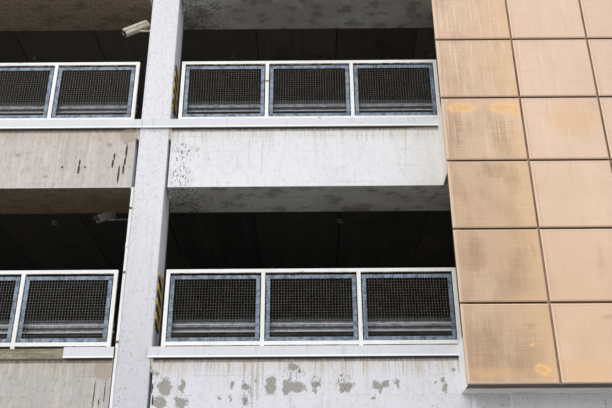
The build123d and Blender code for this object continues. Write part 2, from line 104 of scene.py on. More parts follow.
class Recipe:
    """Lays out the nodes of one finish, measured in metres on the building itself."""

    def __init__(self, name: str) -> None:
        """Start a finish with its shader and its coordinates.

        Args:
            name: the finish's name.
        """
        self.material = bpy.data.materials.new(name)
        self.material.use_nodes = True
        self.tree = self.material.node_tree
        self.tree.nodes.clear()
        output = self.tree.nodes.new("ShaderNodeOutputMaterial")
        self.shader = self.tree.nodes.new("ShaderNodeBsdfPrincipled")
        self.tree.links.new(self.shader.outputs["BSDF"], output.inputs["Surface"])
        self.place = self.tree.nodes.new("ShaderNodeTexCoord").outputs["Object"]
        self.x, self.y, self.z = self.split(self.place)
        normal = self.tree.nodes.new("ShaderNodeNewGeometry").outputs["Normal"]
        self.facing_x, self.facing_y, self.facing_z = self.split(normal)

    def node(self, kind: str, feeds: Dict[Any, Any], **settings: Any) -> bpy.types.Node:
        """Add a node.

        Args:
            kind: the node's type.
            feeds: what goes into each input, by its name or number.
            settings: the node's own options.

        Returns:
            The new node.
        """
        made = self.tree.nodes.new(kind)
        for key, value in settings.items():
            setattr(made, key, value)
        for key, value in feeds.items():
            socket = made.inputs[key]
            if isinstance(value, bpy.types.NodeSocket):
                self.tree.links.new(value, socket)
            elif socket.type == "RGBA":
                socket.default_value = (*value, 1.0)
            else:
                socket.default_value = value
        return made

    def split(self, vector: Socket) -> List[Socket]:
        """Return the three parts of a vector."""
        return list(self.node("ShaderNodeSeparateXYZ", {0: vector}).outputs)

    def math(self, operation: str, first: Value, second: Value = 0.0) -> Socket:
        """Return a sum, product or other operation on two values."""
        return self.node("ShaderNodeMath", {0: first, 1: second}, operation=operation).outputs[0]

    def times(self, *values: Value) -> Socket:
        """Multiply several values.

        Args:
            values: the values.

        Returns:
            Their product.
        """
        total = values[0]
        for value in values[1:]:
            total = self.math("MULTIPLY", total, value)
        return total

    def most(self, *values: Value) -> Socket:
        """Compare several values.

        Args:
            values: the values.

        Returns:
            The largest of them.
        """
        total = values[0]
        for value in values[1:]:
            total = self.math("MAXIMUM", total, value)
        return total

    def rest(self, share: Value) -> Socket:
        """Return what a share leaves of 1."""
        return self.math("SUBTRACT", 1.0, share)

    def ease(self, value: Value, start: float, end: float, low: float = 0.0, high: float = 1.0) -> Socket:
        """Ease from one level to another.

        Args:
            value: what is measured.
            start, end: where the change starts and ends.
            low, high: the levels before and after it.

        Returns:
            The eased level.
        """
        feeds = {0: value, 1: start, 2: end, 3: low, 4: high}
        return self.node("ShaderNodeMapRange", feeds, interpolation_type="SMOOTHSTEP").outputs[0]

    def within(self, value: Value, low: float, high: float, soft: float = 0.005) -> Socket:
        """Return 1 between two bounds and 0 outside them, with a soft change."""
        rise = self.ease(value, low - soft, low + soft)
        return self.times(rise, self.ease(value, high + soft, high - soft))

    def stretched(self, stretch: Colour, shift: Colour = (0.0, 0.0, 0.0)) -> Socket:
        """Return the coordinates multiplied along each axis and shifted."""
        return self.node("ShaderNodeMapping", {0: self.place, 1: shift, 3: stretch}).outputs[0]

    def clouds(
        self,
        stretch: Colour,
        detail: float = 3.0,
        roughness: float = 0.55,
        shift: Colour = (0.0, 0.0, 0.0),
        distortion: float = 0.0,
    ) -> Socket:
        """Make soft irregular clouds.

        Args:
            stretch: how many clouds to a metre along each axis.
            detail: how many finer layers lie over them.
            roughness: how strong those layers are.
            shift: where the pattern starts.
            distortion: how far the clouds are swirled.

        Returns:
            The density of the clouds, about 0.5 in the middle.
        """
        feeds = {
            "Vector": self.stretched(stretch, shift),
            "Scale": 1.0,
            "Detail": detail,
            "Roughness": roughness,
            "Distortion": distortion,
        }
        return self.node("ShaderNodeTexNoise", feeds).outputs[0]

    def cells(self, stretch: Colour, shift: Colour = (0.0, 0.0, 0.0)) -> Tuple[Socket, Socket]:
        """Scatter points.

        Args:
            stretch: how many points to a metre along each axis.
            shift: where the pattern starts.

        Returns:
            The distance to the nearest point in cells, and a chance value for each cell.
        """
        feeds = {"Vector": self.stretched(stretch, shift), "Scale": 1.0}
        made = self.node("ShaderNodeTexVoronoi", feeds)
        return made.outputs["Distance"], self.split(made.outputs["Color"])[0]

    def spots(self, stretch: Colour, rim: float, core: float, rare: float, sure: float) -> Socket:
        """Scatter round spots.

        Args:
            stretch: how many cells to a metre along each axis.
            rim, core: the distances from a spot's middle where it ends and where it is full, in cells.
            rare, sure: the chance values from which a cell has a faint spot and a full one.

        Returns:
            The mask of the spots.
        """
        distance, chance = self.cells(stretch)
        return self.times(self.ease(distance, rim, core), self.ease(chance, rare, sure))

    def lot(self, *parts: Value) -> Socket:
        """Return a chance value between 0 and 1 for up to three whole numbers."""
        key = self.node("ShaderNodeCombineXYZ", dict(enumerate(parts))).outputs[0]
        return self.node("ShaderNodeTexWhiteNoise", {"Vector": key}, noise_dimensions="3D").outputs[0]

    def mix(self, share: Value, under: Paint, over: Paint) -> Socket:
        """Return one colour laid over another by a share."""
        feeds = {0: share, 6: under, 7: over}
        return self.node("ShaderNodeMix", feeds, data_type="RGBA").outputs[2]

    def veil(self, under: Paint, pattern: Value, start: float, end: float, share: Value, over: Paint) -> Socket:
        """Lay one colour over another where a pattern passes a level.

        Args:
            under: the colour below.
            pattern: the pattern that spreads the upper colour.
            start, end: the levels of the pattern between which it grows.
            share: how far it covers at most.
            over: the upper colour.

        Returns:
            The colour.
        """
        return self.mix(self.times(self.ease(pattern, start, end), share), under, over)

    def reach(self, places: Sequence[Patch], ragged: float, fine: float = 22.0, speckled: float = 0.9) -> Socket:
        """Measure how far every point lies from ragged patches on the front.

        Args:
            places: the x, z, half width and half height of each patch.
            ragged: how far its edge wanders.
            fine: how many times to a metre the edge wanders.
            speckled: how far the edge breaks up into grains.

        Returns:
            The distance from the nearest patch, which is 1 at its edge.
        """
        feeds = {"Vector": self.place, "Scale": fine, "Detail": 5.0, "Roughness": 0.7}
        wander = self.node("ShaderNodeTexNoise", feeds).outputs["Color"]
        wander = self.node("ShaderNodeVectorMath", {0: wander, 1: (0.5, 0.5, 0.5)}, operation="SUBTRACT").outputs[0]
        feeds = {0: wander, 1: (ragged, ragged, ragged), 2: self.place}
        spot = self.node("ShaderNodeVectorMath", feeds, operation="MULTIPLY_ADD").outputs[0]
        nearest: Value = 9.0
        for x, z, half_width, half_height in places:
            away = self.node("ShaderNodeVectorMath", {0: spot, 1: (x, 0.0, z)}, operation="SUBTRACT").outputs[0]
            scale = (1 / half_width, 0.0, 1 / half_height)
            away = self.node("ShaderNodeVectorMath", {0: away, 1: scale}, operation="MULTIPLY").outputs[0]
            span = self.node("ShaderNodeVectorMath", {0: away}, operation="LENGTH").outputs["Value"]
            nearest = self.math("MINIMUM", nearest, span)
        grain = self.math("SUBTRACT", self.clouds((75.0, 75.0, 75.0), 2, 0.6, (0.3, 0.6, 0.9)), 0.5)
        return self.math("ADD", nearest, self.times(grain, speckled * 2))

    def patches(self, places: Sequence[Patch], ragged: float, fine: float = 22.0, speckled: float = 0.9) -> Socket:
        """Return 1 inside ragged patches on the front and 0 outside, measured as in reach."""
        return self.ease(self.reach(places, ragged, fine, speckled), 1.06, 0.94)

    def relief(self, height: Value, depth: float, strength: float = 1.0) -> None:
        """Raise the surface by a height pattern, over what is already raised.

        Args:
            height: the pattern.
            depth: how high it stands in metres.
            strength: how strongly it shows.
        """
        feeds = {"Height": height, "Distance": depth, "Strength": strength}
        former = self.shader.inputs["Normal"]
        if former.is_linked:
            feeds["Normal"] = former.links[0].from_socket
        made = self.node("ShaderNodeBump", feeds)
        self.tree.links.new(made.outputs["Normal"], former)

    def done(self, colour: Paint, roughness: Value, metallic: float = 0.0) -> bpy.types.Material:
        """Feed the shader.

        Args:
            colour: the base colour.
            roughness: the roughness, as a number or a pattern.
            metallic: how far the surface is bare metal.

        Returns:
            The finished material.
        """
        for name, value in (("Base Color", colour), ("Roughness", roughness)):
            socket = self.shader.inputs[name]
            if isinstance(value, bpy.types.NodeSocket):
                self.tree.links.new(value, socket)
            else:
                socket.default_value = (*value, 1.0) if name == "Base Color" else value
        self.shader.inputs["Metallic"].default_value = metallic
        return self.material


@dataclass(frozen=True)
class PaintedBeams:
    """Masonry paint on beams and kerbs: clean or weathered by bay, peeled, and streaked below the copings, with
    painted shadow under the copings, painted shade on the undersides and painted highlights on the lower arrises
    and the beam ends in the joints.
    """

    clean: Colour = tone(229, 229, 231)
    clean_low: Colour = tone(217, 217, 222)
    weathered: Colour = tone(199, 191, 184)
    bare: Colour = tone(160, 155, 148)
    run_off: Colour = tone(196, 170, 132)
    grime: Colour = tone(92, 84, 72)
    rust: Colour = tone(66, 44, 32)
    shaded_clean_underside: Colour = tone(196, 196, 192)
    shaded_weathered_underside: Colour = tone(134, 116, 92)
    depth: float = 0.85
    kerb: float = 0.40
    face_depth: float = 0.30
    inner_face: float = 0.55
    ledge_end: float = 0.9
    storey_from: float = 1.1
    low_until: float = 4.5
    shade_from: float = 3.35
    board: float = 0.22
    board_edge: float = 3.871
    board_line: float = 0.0055
    peeled: Tuple[Patch, ...] = (
        (0.361, 3.752, 0.077, 0.099), (0.557, 3.761, 0.033, 0.077), (0.317, 3.576, 0.066, 0.077),
        (0.554, 3.574, 0.071, 0.066), (1.107, 3.763, 0.015, 0.049), (1.249, 3.757, 0.033, 0.055),
        (1.260, 3.592, 0.025, 0.049), (1.530, 3.766, 0.064, 0.104), (1.789, 3.742, 0.127, 0.060),
        (1.710, 3.732, 0.049, 0.077), (1.732, 3.809, 0.017, 0.033), (1.789, 3.973, 0.055, 0.027),
        (1.726, 3.963, 0.015, 0.033), (2.032, 3.768, 0.044, 0.036), (2.019, 3.697, 0.022, 0.033),
        (2.368, 3.744, 0.077, 0.055), (2.316, 3.701, 0.027, 0.035), (2.307, 3.866, 0.020, 0.011),
        (2.374, 3.867, 0.018, 0.011), (2.683, 3.764, 0.040, 0.055), (2.793, 3.766, 0.046, 0.038),
        (2.738, 3.736, 0.044, 0.027), (2.734, 3.692, 0.013, 0.033), (2.911, 3.779, 0.035, 0.035),
        (2.925, 3.735, 0.019, 0.029), (2.660, 3.605, 0.022, 0.024), (3.444, 3.726, 0.037, 0.058),
        (3.422, 3.815, 0.033, 0.020), (3.344, 3.788, 0.011, 0.020), (3.562, 3.924, 0.018, 0.024),
        (0.971, 3.621, 0.022, 0.022), (1.085, 3.615, 0.013, 0.033), (1.367, 3.817, 0.011, 0.033),
    )
    cracked: Tuple[Patch, ...] = (
        (0.400, 6.730, 0.170, 0.110), (0.340, 6.560, 0.060, 0.160), (0.370, 6.370, 0.130, 0.150),
        (0.670, 6.690, 0.050, 0.070), (0.250, 3.860, 0.080, 0.100), (1.260, 3.700, 0.050, 0.160),
        (1.780, 3.900, 0.120, 0.060), (2.040, 3.800, 0.060, 0.060), (2.330, 3.790, 0.070, 0.090),
    )
    chips: Tuple[Patch, ...] = (
        (-0.906, 6.583, 0.012, 0.047), (-0.908, 6.487, 0.015, 0.064), (-0.832, 6.520, 0.012, 0.016),
        (-0.477, 6.668, 0.012, 0.049), (-0.488, 6.569, 0.014, 0.065), (-0.331, 6.742, 0.014, 0.096),
        (-0.336, 6.603, 0.014, 0.058), (-0.347, 6.489, 0.014, 0.071), (-0.402, 6.411, 0.013, 0.134),
        (-1.116, 6.521, 0.012, 0.017), (0.221, 3.747, 0.020, 0.050), (0.214, 3.703, 0.018, 0.039),
        (0.244, 3.604, 0.010, 0.060), (-0.405, 3.660, 0.006, 0.160), (-0.290, 3.700, 0.006, 0.130),
        (-0.345, 3.585, 0.007, 0.040),
    )
    smudges: Tuple[Patch, ...] = (
        (-1.308, 6.391, 0.034, 0.021), (-0.556, 6.837, 0.035, 0.030), (-0.356, 6.869, 0.034, 0.026),
        (-2.250, 3.700, 0.060, 0.030), (-1.700, 6.700, 0.040, 0.030), (-2.800, 6.480, 0.050, 0.025),
    )
    mortar: Tuple[Patch, ...] = ((-0.324, 6.972, 0.110, 0.105), (-0.319, 3.937, 0.136, 0.100))
    tall_runs: Tuple[Patch, ...] = (
        (1.329, 3.789, 0.020, 0.300), (1.386, 3.833, 0.020, 0.240), (1.442, 3.917, 0.011, 0.152),
        (1.234, 3.946, 0.015, 0.124), (1.065, 3.992, 0.014, 0.079), (3.001, 3.980, 0.009, 0.090),
        (3.165, 3.945, 0.007, 0.113), (3.617, 3.976, 0.010, 0.079), (2.560, 3.970, 0.010, 0.100),
        (0.520, 6.800, 0.009, 0.160), (1.216, 6.740, 0.008, 0.260), (1.386, 6.700, 0.010, 0.290),
    )

    def material(self) -> bpy.types.Material:
        """Lay out the finish.

        Returns:
            The material.
        """
        r = Recipe("painted_beams")
        front = r.ease(r.y, FRONT_FACE + self.face_depth + 0.05, FRONT_FACE + self.face_depth)
        shown_bay = r.times(front, r.within(r.x, 0.0, WIDE_BAY))
        worn_bay = r.times(front, r.within(r.x, -BAY, 0.0))
        low_row = r.ease(r.z, self.low_until + 0.1, self.low_until)
        above = r.math("MODULO", r.math("SUBTRACT", r.z, COPING_FOOT), STOREY)
        under = r.math("SUBTRACT", STOREY, above)
        age = self.age(r, shown_bay, worn_bay)
        colour = self.ground_coat(r, age, r.times(shown_bay, low_row), r.times(worn_bay, low_row))
        colour = self.run_marks(r, colour, age, under, front)
        boards = self.board_lines(r)
        colour = r.mix(r.times(boards, 0.24), colour, self.grime)
        peeled, chips, pits = self.damage(r, age, front, shown_bay, worn_bay, under)
        plain = r.mix(r.clouds((70.0, 70.0, 70.0), 3), self.bare, tone(144, 139, 130))
        colour = r.mix(r.times(peeled, 0.95), colour, plain)
        colour = r.mix(r.times(pits, 0.92), colour, self.grime)
        colour = r.mix(r.times(r.patches(self.smudges, 0.05, 45.0), front, 0.4), colour, self.grime)
        trowelled = r.times(r.patches(self.mortar, 0.12, 14.0, 0.5), front)
        colour = r.mix(r.times(trowelled, 0.8), colour, tone(164, 150, 132))
        colour = r.mix(chips, colour, self.rust)
        # Painted highlight: a near white line along the lower arris of each beam, where light catches it.
        arris = r.times(r.within(under, self.depth - 0.010, self.depth + 0.05), r.ease(r.facing_z, -0.5, -0.2))
        colour = r.mix(r.times(arris, 0.95), colour, tone(252, 249, 244))
        shadowed = r.times(r.within(r.x, self.shade_from, WIDE_BAY, 0.25), r.ease(r.z, 5.0, 6.0), shown_bay)
        colour = r.mix(r.times(shadowed, 0.4), colour, tone(206, 201, 190))
        # Painted light: the beam ends facing the open joints beside the columns are painted near white to look lit.
        slot = r.times(r.ease(r.math("ABSOLUTE", r.facing_x), 0.5, 0.8), front)
        colour = r.mix(slot, colour, tone(246, 247, 252))
        # The undersides take a darker colour as painted shade, with mould.
        colour = r.mix(r.ease(r.facing_z, -0.35, -0.8), colour, self.shaded_undersides(r, worn_bay))
        upright = r.ease(r.facing_z, -0.8, -0.4)
        colour = r.mix(r.ease(above, self.kerb, self.kerb - 0.05), colour, self.kerb_crust(r))
        inside = r.within(r.y, FRONT_FACE + self.inner_face, REAR_FACE - self.inner_face)
        inside = r.times(inside, upright, 0.6)
        colour = r.mix(inside, colour, tone(96, 92, 86))

        r.relief(r.clouds((55.0, 55.0, 55.0), 4, 0.7), 0.004, 0.3)
        r.relief(r.clouds((4.0, 4.0, 7.0), 3), 0.012, 0.2)
        r.relief(r.rest(r.most(peeled, chips, pits, boards)), 0.002, 0.6)
        return r.done(colour, r.ease(peeled, 0, 1, 0.72, 0.92))

    def age(self, r: Recipe, shown_bay: Socket, worn_bay: Socket) -> Socket:
        """Draw lots for how weathered each bay of each storey is.

        Args:
            r: the recipe.
            shown_bay, worn_bay: masks of the two bays beside the middle column.

        Returns:
            How weathered the paint is, from 0 to 1.
        """
        bay = r.math("FLOOR", r.math("DIVIDE", r.x, BAY))
        floor = r.math("FLOOR", r.math("DIVIDE", r.math("SUBTRACT", r.z, self.storey_from), STOREY))
        chance = r.lot(bay, floor, r.math("FLOOR", r.math("DIVIDE", r.y, BAY)))
        age = r.times(r.ease(chance, 0.2, 0.9), r.rest(shown_bay))
        return r.most(age, r.times(worn_bay, 0.95))

    def ground_coat(self, r: Recipe, age: Socket, shown_low: Socket, worn_low: Socket) -> Socket:
        """Return the paint with its broad changes of shade and its fine blotches.

        Args:
            r: the recipe.
            age: how weathered the paint is.
            shown_low, worn_low: masks of the two bays beside the middle column at the first level.

        Returns:
            The colour.
        """
        wash = r.clouds((1.1, 1.1, 0.7), 5, 0.6)
        colour = r.mix(r.ease(wash, 0.35, 0.7), self.clean, tone(221, 221, 222))
        colour = r.mix(shown_low, colour, self.clean_low)
        old = r.mix(r.ease(wash, 0.3, 0.7), self.weathered, tone(188, 181, 175))
        rosy = r.clouds((3.1, 3.1, 2.2), 4, 0.6, (6.0, 2.0, 1.0))
        old = r.veil(old, rosy, 0.48, 0.62, 0.5, tone(208, 192, 184))
        old = r.mix(r.times(worn_low, 0.6), old, tone(172, 168, 162))
        colour = r.mix(age, colour, old)
        blotch = r.clouds((24.0, 24.0, 15.0), 5, 0.72, (0.0, 2.0, 5.0))
        blotched = r.math("ADD", 0.14, r.times(age, 0.14))
        colour = r.veil(colour, blotch, 0.50, 0.66, blotched, self.grime)
        pale = r.clouds((24.0, 24.0, 2.2), 4, 0.7, (3.0, 0.0, 2.0))
        return r.veil(colour, pale, 0.52, 0.68, r.ease(age, 0, 1, 0.14, 0.34), tone(230, 227, 224))

    def run_marks(self, r: Recipe, colour: Socket, age: Socket, under: Socket, front: Socket) -> Socket:
        """Return the colour with the marks of water that drips from the coping, and with the painted shadow under
        the coping.

        Args:
            r: the recipe.
            colour: the colour so far.
            age: how weathered the paint is.
            under: how far each point lies below the foot of the coping.
            front: the mask of the front's faces.

        Returns:
            The marked colour.
        """
        fine_runs = r.clouds((21.0, 21.0, 0.55), 4, 0.6)
        broad_runs = r.clouds((5.5, 5.5, 0.3), 3, 0.55, (3.1, 0.7, 0.4))
        runs = r.times(r.ease(fine_runs, 0.5, 0.68), r.ease(under, 0.75, 0.02), r.ease(broad_runs, 0.42, 0.62))
        colour = r.mix(r.times(runs, 0.5), colour, self.run_off)
        dark_runs = r.times(r.ease(fine_runs, 0.53, 0.40), r.ease(broad_runs, 0.60, 0.70), r.ease(under, 1.0, 0.1))
        colour = r.mix(r.times(dark_runs, 0.3), colour, self.grime)
        colour = r.mix(r.times(age, r.ease(fine_runs, 0.45, 0.7), 0.3), colour, tone(158, 148, 138))
        short_runs = r.clouds((38.0, 38.0, 1.6), 4, 0.65, (1.0, 1.0, 0.0))
        short = r.times(r.ease(short_runs, 0.50, 0.64), r.ease(under, 0.30, 0.04))
        colour = r.mix(r.times(short, 0.42), colour, tone(150, 128, 100))
        tall = r.times(r.patches(self.tall_runs, 0.014, 9.0, 0.7), front, r.ease(r.z, 5.6, 6.2, 0.5, 0.24))
        colour = r.mix(tall, colour, tone(166, 154, 136))
        # Painted shadow under each coping: dark just below its foot and fading downward, its edge made ragged by
        # noise.
        shadow_wander = r.clouds((60.0, 60.0, 9.0), 3, 0.7, (0.2, 0.9, 0.0))
        coping_shadow = r.ease(r.math("SUBTRACT", under, r.times(shadow_wander, 0.05)), 0.055, -0.010)
        warm = r.times(r.ease(under, 0.24, 0.03), r.ease(broad_runs, 0.38, 0.60, 0.35, 1.0), 0.32)
        colour = r.mix(warm, colour, tone(188, 166, 126))
        return r.mix(r.times(coping_shadow, coping_shadow, 0.96), colour, tone(54, 42, 28))

    def board_lines(self, r: Recipe) -> Socket:
        """Draw the broken lines that the boards of the mould left.

        Args:
            r: the recipe.

        Returns:
            The mask of the lines.
        """
        board_at = r.math("MODULO", r.math("SUBTRACT", r.z, self.board_edge - 4.5 * self.board), self.board)
        board_at = r.math("ABSOLUTE", r.math("SUBTRACT", board_at, self.board / 2))
        broken = r.ease(r.clouds((3.4, 3.4, 9.0), 4, 0.65), 0.44, 0.60)
        return r.times(r.ease(board_at, self.board_line, 0.001), broken)

    def damage(
        self, r: Recipe, age: Socket, front: Socket, shown_bay: Socket, worn_bay: Socket, under: Socket
    ) -> Tuple[Socket, Socket, Socket]:
        """Mark the damage to the paint.

        Args:
            r: the recipe.
            age: how weathered the paint is.
            front: the mask of the front's faces.
            shown_bay, worn_bay: masks of the two bays beside the middle column.
            under: how far each point lies below the foot of the coping.

        Returns:
            Masks of the peeled places, the rusty chips and the pits.
        """
        flecks = r.ease(r.clouds((62.0, 62.0, 40.0), 3, 0.7, (2.0, 0.0, 1.0)), 0.62, 0.67)
        torn = r.patches(self.peeled, 0.15, 12.0, 0.7)
        peeled = r.times(torn, r.rest(r.times(flecks, 0.8)), front)
        splits = r.ease(r.clouds((58.0, 58.0, 17.0), 5, 0.75, (6.0, 1.0, 4.0)), 0.550, 0.58)
        splits = r.times(splits, r.ease(r.reach(self.cracked, 0.12, 8.0, 0.4), 1.5, 0.8), front)
        scatter = r.clouds((9.0, 9.0, 6.5), 5, 0.65, (5.0, 1.0, 2.0))
        far_peeled = r.times(r.ease(scatter, 0.66, 0.68), r.within(under, 0.22, 0.62, 0.05))
        far_peeled = r.times(far_peeled, r.rest(r.math("MAXIMUM", shown_bay, worn_bay)))
        near = r.reach(self.chips, 0.022, 60.0, 0.5)
        scrape = r.clouds((38.0, 38.0, 9.0), 4, 0.65, (1.0, 2.0, 3.0))
        far_chips = r.times(r.ease(scrape, 0.70, 0.72), age, r.within(under, 0.15, 0.8, 0.1))
        far_chips = r.times(far_chips, r.rest(front))
        chips = r.most(r.times(r.ease(near, 1.06, 0.94), front), far_chips)
        pits = r.spots((24.0, 24.0, 24.0), 0.15, 0.08, 0.74, 0.80)
        fine, fine_chance = r.cells((52.0, 52.0, 52.0), (0.5, 0.2, 0.8))
        halo = r.times(r.ease(near, 4.2, 1.5), r.ease(fine_chance, 0.45, 0.5), front)
        grit = r.times(r.ease(fine, 0.30, 0.18), r.most(halo, r.ease(fine_chance, 0.88, 0.92)))
        speckled = r.times(r.most(pits, grit), r.ease(r.z, 6.8, 5.0, 0.30, 0.67))
        return r.most(peeled, far_peeled), chips, r.most(speckled, splits)

    def kerb_crust(self, r: Recipe) -> Socket:
        """Lay out the olive brown of the bare kerbs, streaked along their length.

        Args:
            r: the recipe.

        Returns:
            The colour.
        """
        streaks = r.clouds((2.4, 2.4, 26.0), 5, 0.65, (2.0, 5.0, 1.0))
        colour = r.mix(r.ease(streaks, 0.36, 0.62), tone(154, 147, 124), tone(112, 104, 82))
        growth = r.clouds((15.0, 15.0, 22.0), 5, 0.7, (4.0, 0.0, 2.0))
        return r.veil(colour, growth, 0.54, 0.64, 0.6, tone(84, 76, 56))

    def shaded_undersides(self, r: Recipe, worn_bay: Socket) -> Socket:
        """Lay out the undersides, painted darker than the faces as shade, with mould over them.

        Args:
            r: the recipe.
            worn_bay: the mask of the bay left of the middle column.

        Returns:
            The colour.
        """
        mould = r.clouds((24.0, 22.0, 22.0), 6, 0.75, (0.0, 4.0, 0.0))
        broad = r.clouds((0.8, 1.6, 1.0), 4, 0.5, (2.0, 0.0, 0.0))
        colour = r.mix(r.ease(broad, 0.35, 0.6), self.shaded_clean_underside, tone(174, 169, 162))
        aged = r.mix(r.ease(r.z, 8.0, 8.6), self.shaded_weathered_underside, tone(152, 134, 114))
        ledge = r.ease(r.y, FRONT_FACE + self.ledge_end + 0.1, FRONT_FACE + self.ledge_end)
        worn_bay = r.most(worn_bay, r.times(r.within(r.x, -BAY, 0.0), ledge))
        colour = r.mix(worn_bay, colour, aged)
        blots = r.clouds((3.6, 5.0, 5.0), 4, 0.6, (7.0, 1.0, 0.0))
        colour = r.veil(colour, blots, 0.50, 0.64, 0.5, tone(88, 78, 66))
        bloom = r.clouds((8.0, 6.0, 6.0), 4, 0.65, (1.0, 6.0, 0.0))
        bloom = r.times(r.ease(bloom, 0.56, 0.66), r.ease(worn_bay, 0, 1, 0.4, 0.08))
        colour = r.mix(bloom, colour, tone(214, 208, 196))
        beside = r.most(r.within(r.x, 0.1, 0.7, 0.4), r.times(worn_bay, 0.5), 0.22)
        return r.mix(r.times(r.ease(mould, 0.50, 0.57), beside, 0.85), colour, tone(50, 45, 40))


@dataclass(frozen=True)
class PaintedColumns:
    """White masonry paint on the columns, finely speckled, with bare sides towards the decks and a band of painted
    shadow deep on their sides.
    """

    clean: Colour = tone(226, 225, 228)
    low: Colour = tone(200, 200, 206)
    shaded: Colour = tone(214, 208, 200)
    grime: Colour = tone(104, 98, 90)
    depth: float = 0.470
    open_depth: float = 0.36
    painted_shade: Tuple[float, float] = (0.40, 0.60)
    last_column: float = 11.2

    def material(self) -> bpy.types.Material:
        """Lay out the finish.

        Returns:
            The material.
        """
        r = Recipe("painted_columns")
        wash = r.clouds((1.3, 1.3, 0.35), 4, 0.6)
        colour = r.mix(r.ease(wash, 0.35, 0.7), self.clean, tone(219, 217, 219))
        colour = r.veil(colour, r.z, 6.4, 3.2, r.ease(r.x, 3.5, 3.4), self.low)
        runs = r.clouds((26.0, 26.0, 0.45), 4, 0.6)
        colour = r.veil(colour, runs, 0.55, 0.72, 0.25, tone(176, 170, 164))
        blots = r.clouds((9.0, 9.0, 6.0), 4, 0.65, (0.0, 3.0, 0.0))
        colour = r.veil(colour, blots, 0.56, 0.70, 0.3, tone(190, 186, 182))
        blotch = r.clouds((30.0, 30.0, 20.0), 5, 0.75, (1.0, 0.0, 2.0))
        colour = r.veil(colour, blotch, 0.52, 0.66, 0.32, tone(146, 140, 136))
        scatter = r.clouds((52.0, 52.0, 24.0), 5, 0.8, (4.0, 2.0, 6.0))
        gathered = r.ease(r.clouds((4.0, 4.0, 1.6), 3, 0.6, (8.0, 0.0, 3.0)), 0.42, 0.60)
        specks = r.times(r.ease(scatter, 0.575, 0.63), r.math("ADD", r.times(gathered, 0.9), 0.1))
        specks = r.times(specks, r.ease(r.z, 9.0, 6.6, 0.35, 1.0))
        colour = r.mix(r.times(specks, 0.72), colour, self.grime)
        coarse = r.clouds((17.0, 17.0, 7.0), 5, 0.7, (0.4, 0.1, 0.7))
        holes = r.ease(coarse, 0.705, 0.73)
        colour = r.mix(r.times(holes, 0.85), colour, tone(70, 62, 52))
        deep = r.within(r.y, FRONT_FACE + self.open_depth, REAR_FACE - self.open_depth, 0.03)
        sides = r.ease(r.math("ABSOLUTE", r.facing_x), 0.5, 0.8)
        colour = r.mix(r.times(deep, sides, 0.75), colour, self.shaded)
        # Painted shadow: a near black band deep on the columns' sides, where the gap behind the guards lies in
        # shade; the end columns are left out.
        shadowed_sides = r.times(r.within(r.y, FRONT_FACE + self.painted_shade[0], FRONT_FACE + self.painted_shade[1]), sides)
        shadowed_sides = r.times(shadowed_sides, r.ease(r.math("ABSOLUTE", r.x), self.last_column + 0.1, self.last_column))
        colour = r.mix(r.times(shadowed_sides, 0.9), colour, tone(58, 55, 52))
        inner = r.within(r.y, FRONT_FACE + self.depth, REAR_FACE - self.depth, 0.003)
        colour = r.mix(r.times(inner, 0.85), colour, tone(150, 146, 138))
        foot = r.times(r.ease(r.z, 0.9, 0.2), r.ease(blots, 0.3, 0.6))
        colour = r.mix(r.times(foot, 0.55), colour, tone(128, 120, 108))
        r.relief(r.clouds((70.0, 70.0, 70.0), 4, 0.7), 0.003, 0.25)
        r.relief(r.rest(r.most(specks, holes)), 0.0025, 0.5)
        r.relief(r.clouds((3.0, 3.0, 1.5), 3), 0.010, 0.2)
        return r.done(colour, 0.7)


@dataclass(frozen=True)
class BareConcrete:
    """Unpainted concrete of the ground slab and the inner frame, mottled olive grey."""

    dry: Colour = tone(146, 140, 126)
    damp: Colour = tone(104, 99, 86)
    lichen: Colour = tone(126, 122, 92)
    rim: float = 0.3

    def material(self) -> bpy.types.Material:
        """Lay out the finish.

        Returns:
            The material.
        """
        r = Recipe("bare_concrete")
        broad = r.clouds((1.6, 1.6, 2.4), 5, 0.6)
        colour = r.mix(r.ease(broad, 0.35, 0.65), self.dry, self.damp)
        grain = r.clouds((48.0, 48.0, 48.0), 4, 0.7)
        colour = r.veil(colour, grain, 0.45, 0.7, 0.35, tone(86, 80, 70))
        growth = r.clouds((11.0, 11.0, 14.0), 5, 0.65, (2.0, 5.0, 1.0))
        outside = r.rest(r.within(r.y, FRONT_FACE + self.rim, REAR_FACE - self.rim))
        colour = r.mix(r.times(r.ease(growth, 0.52, 0.66), outside, 0.6), colour, self.lichen)
        holes = r.spots((30.0, 30.0, 30.0), 0.18, 0.1, 0.6, 0.7)
        colour = r.mix(r.times(holes, 0.7), colour, tone(58, 54, 46))
        r.relief(grain, 0.004, 0.4)
        r.relief(r.rest(holes), 0.003, 0.6)
        return r.done(colour, r.ease(broad, 0.3, 0.7, 0.82, 0.95))


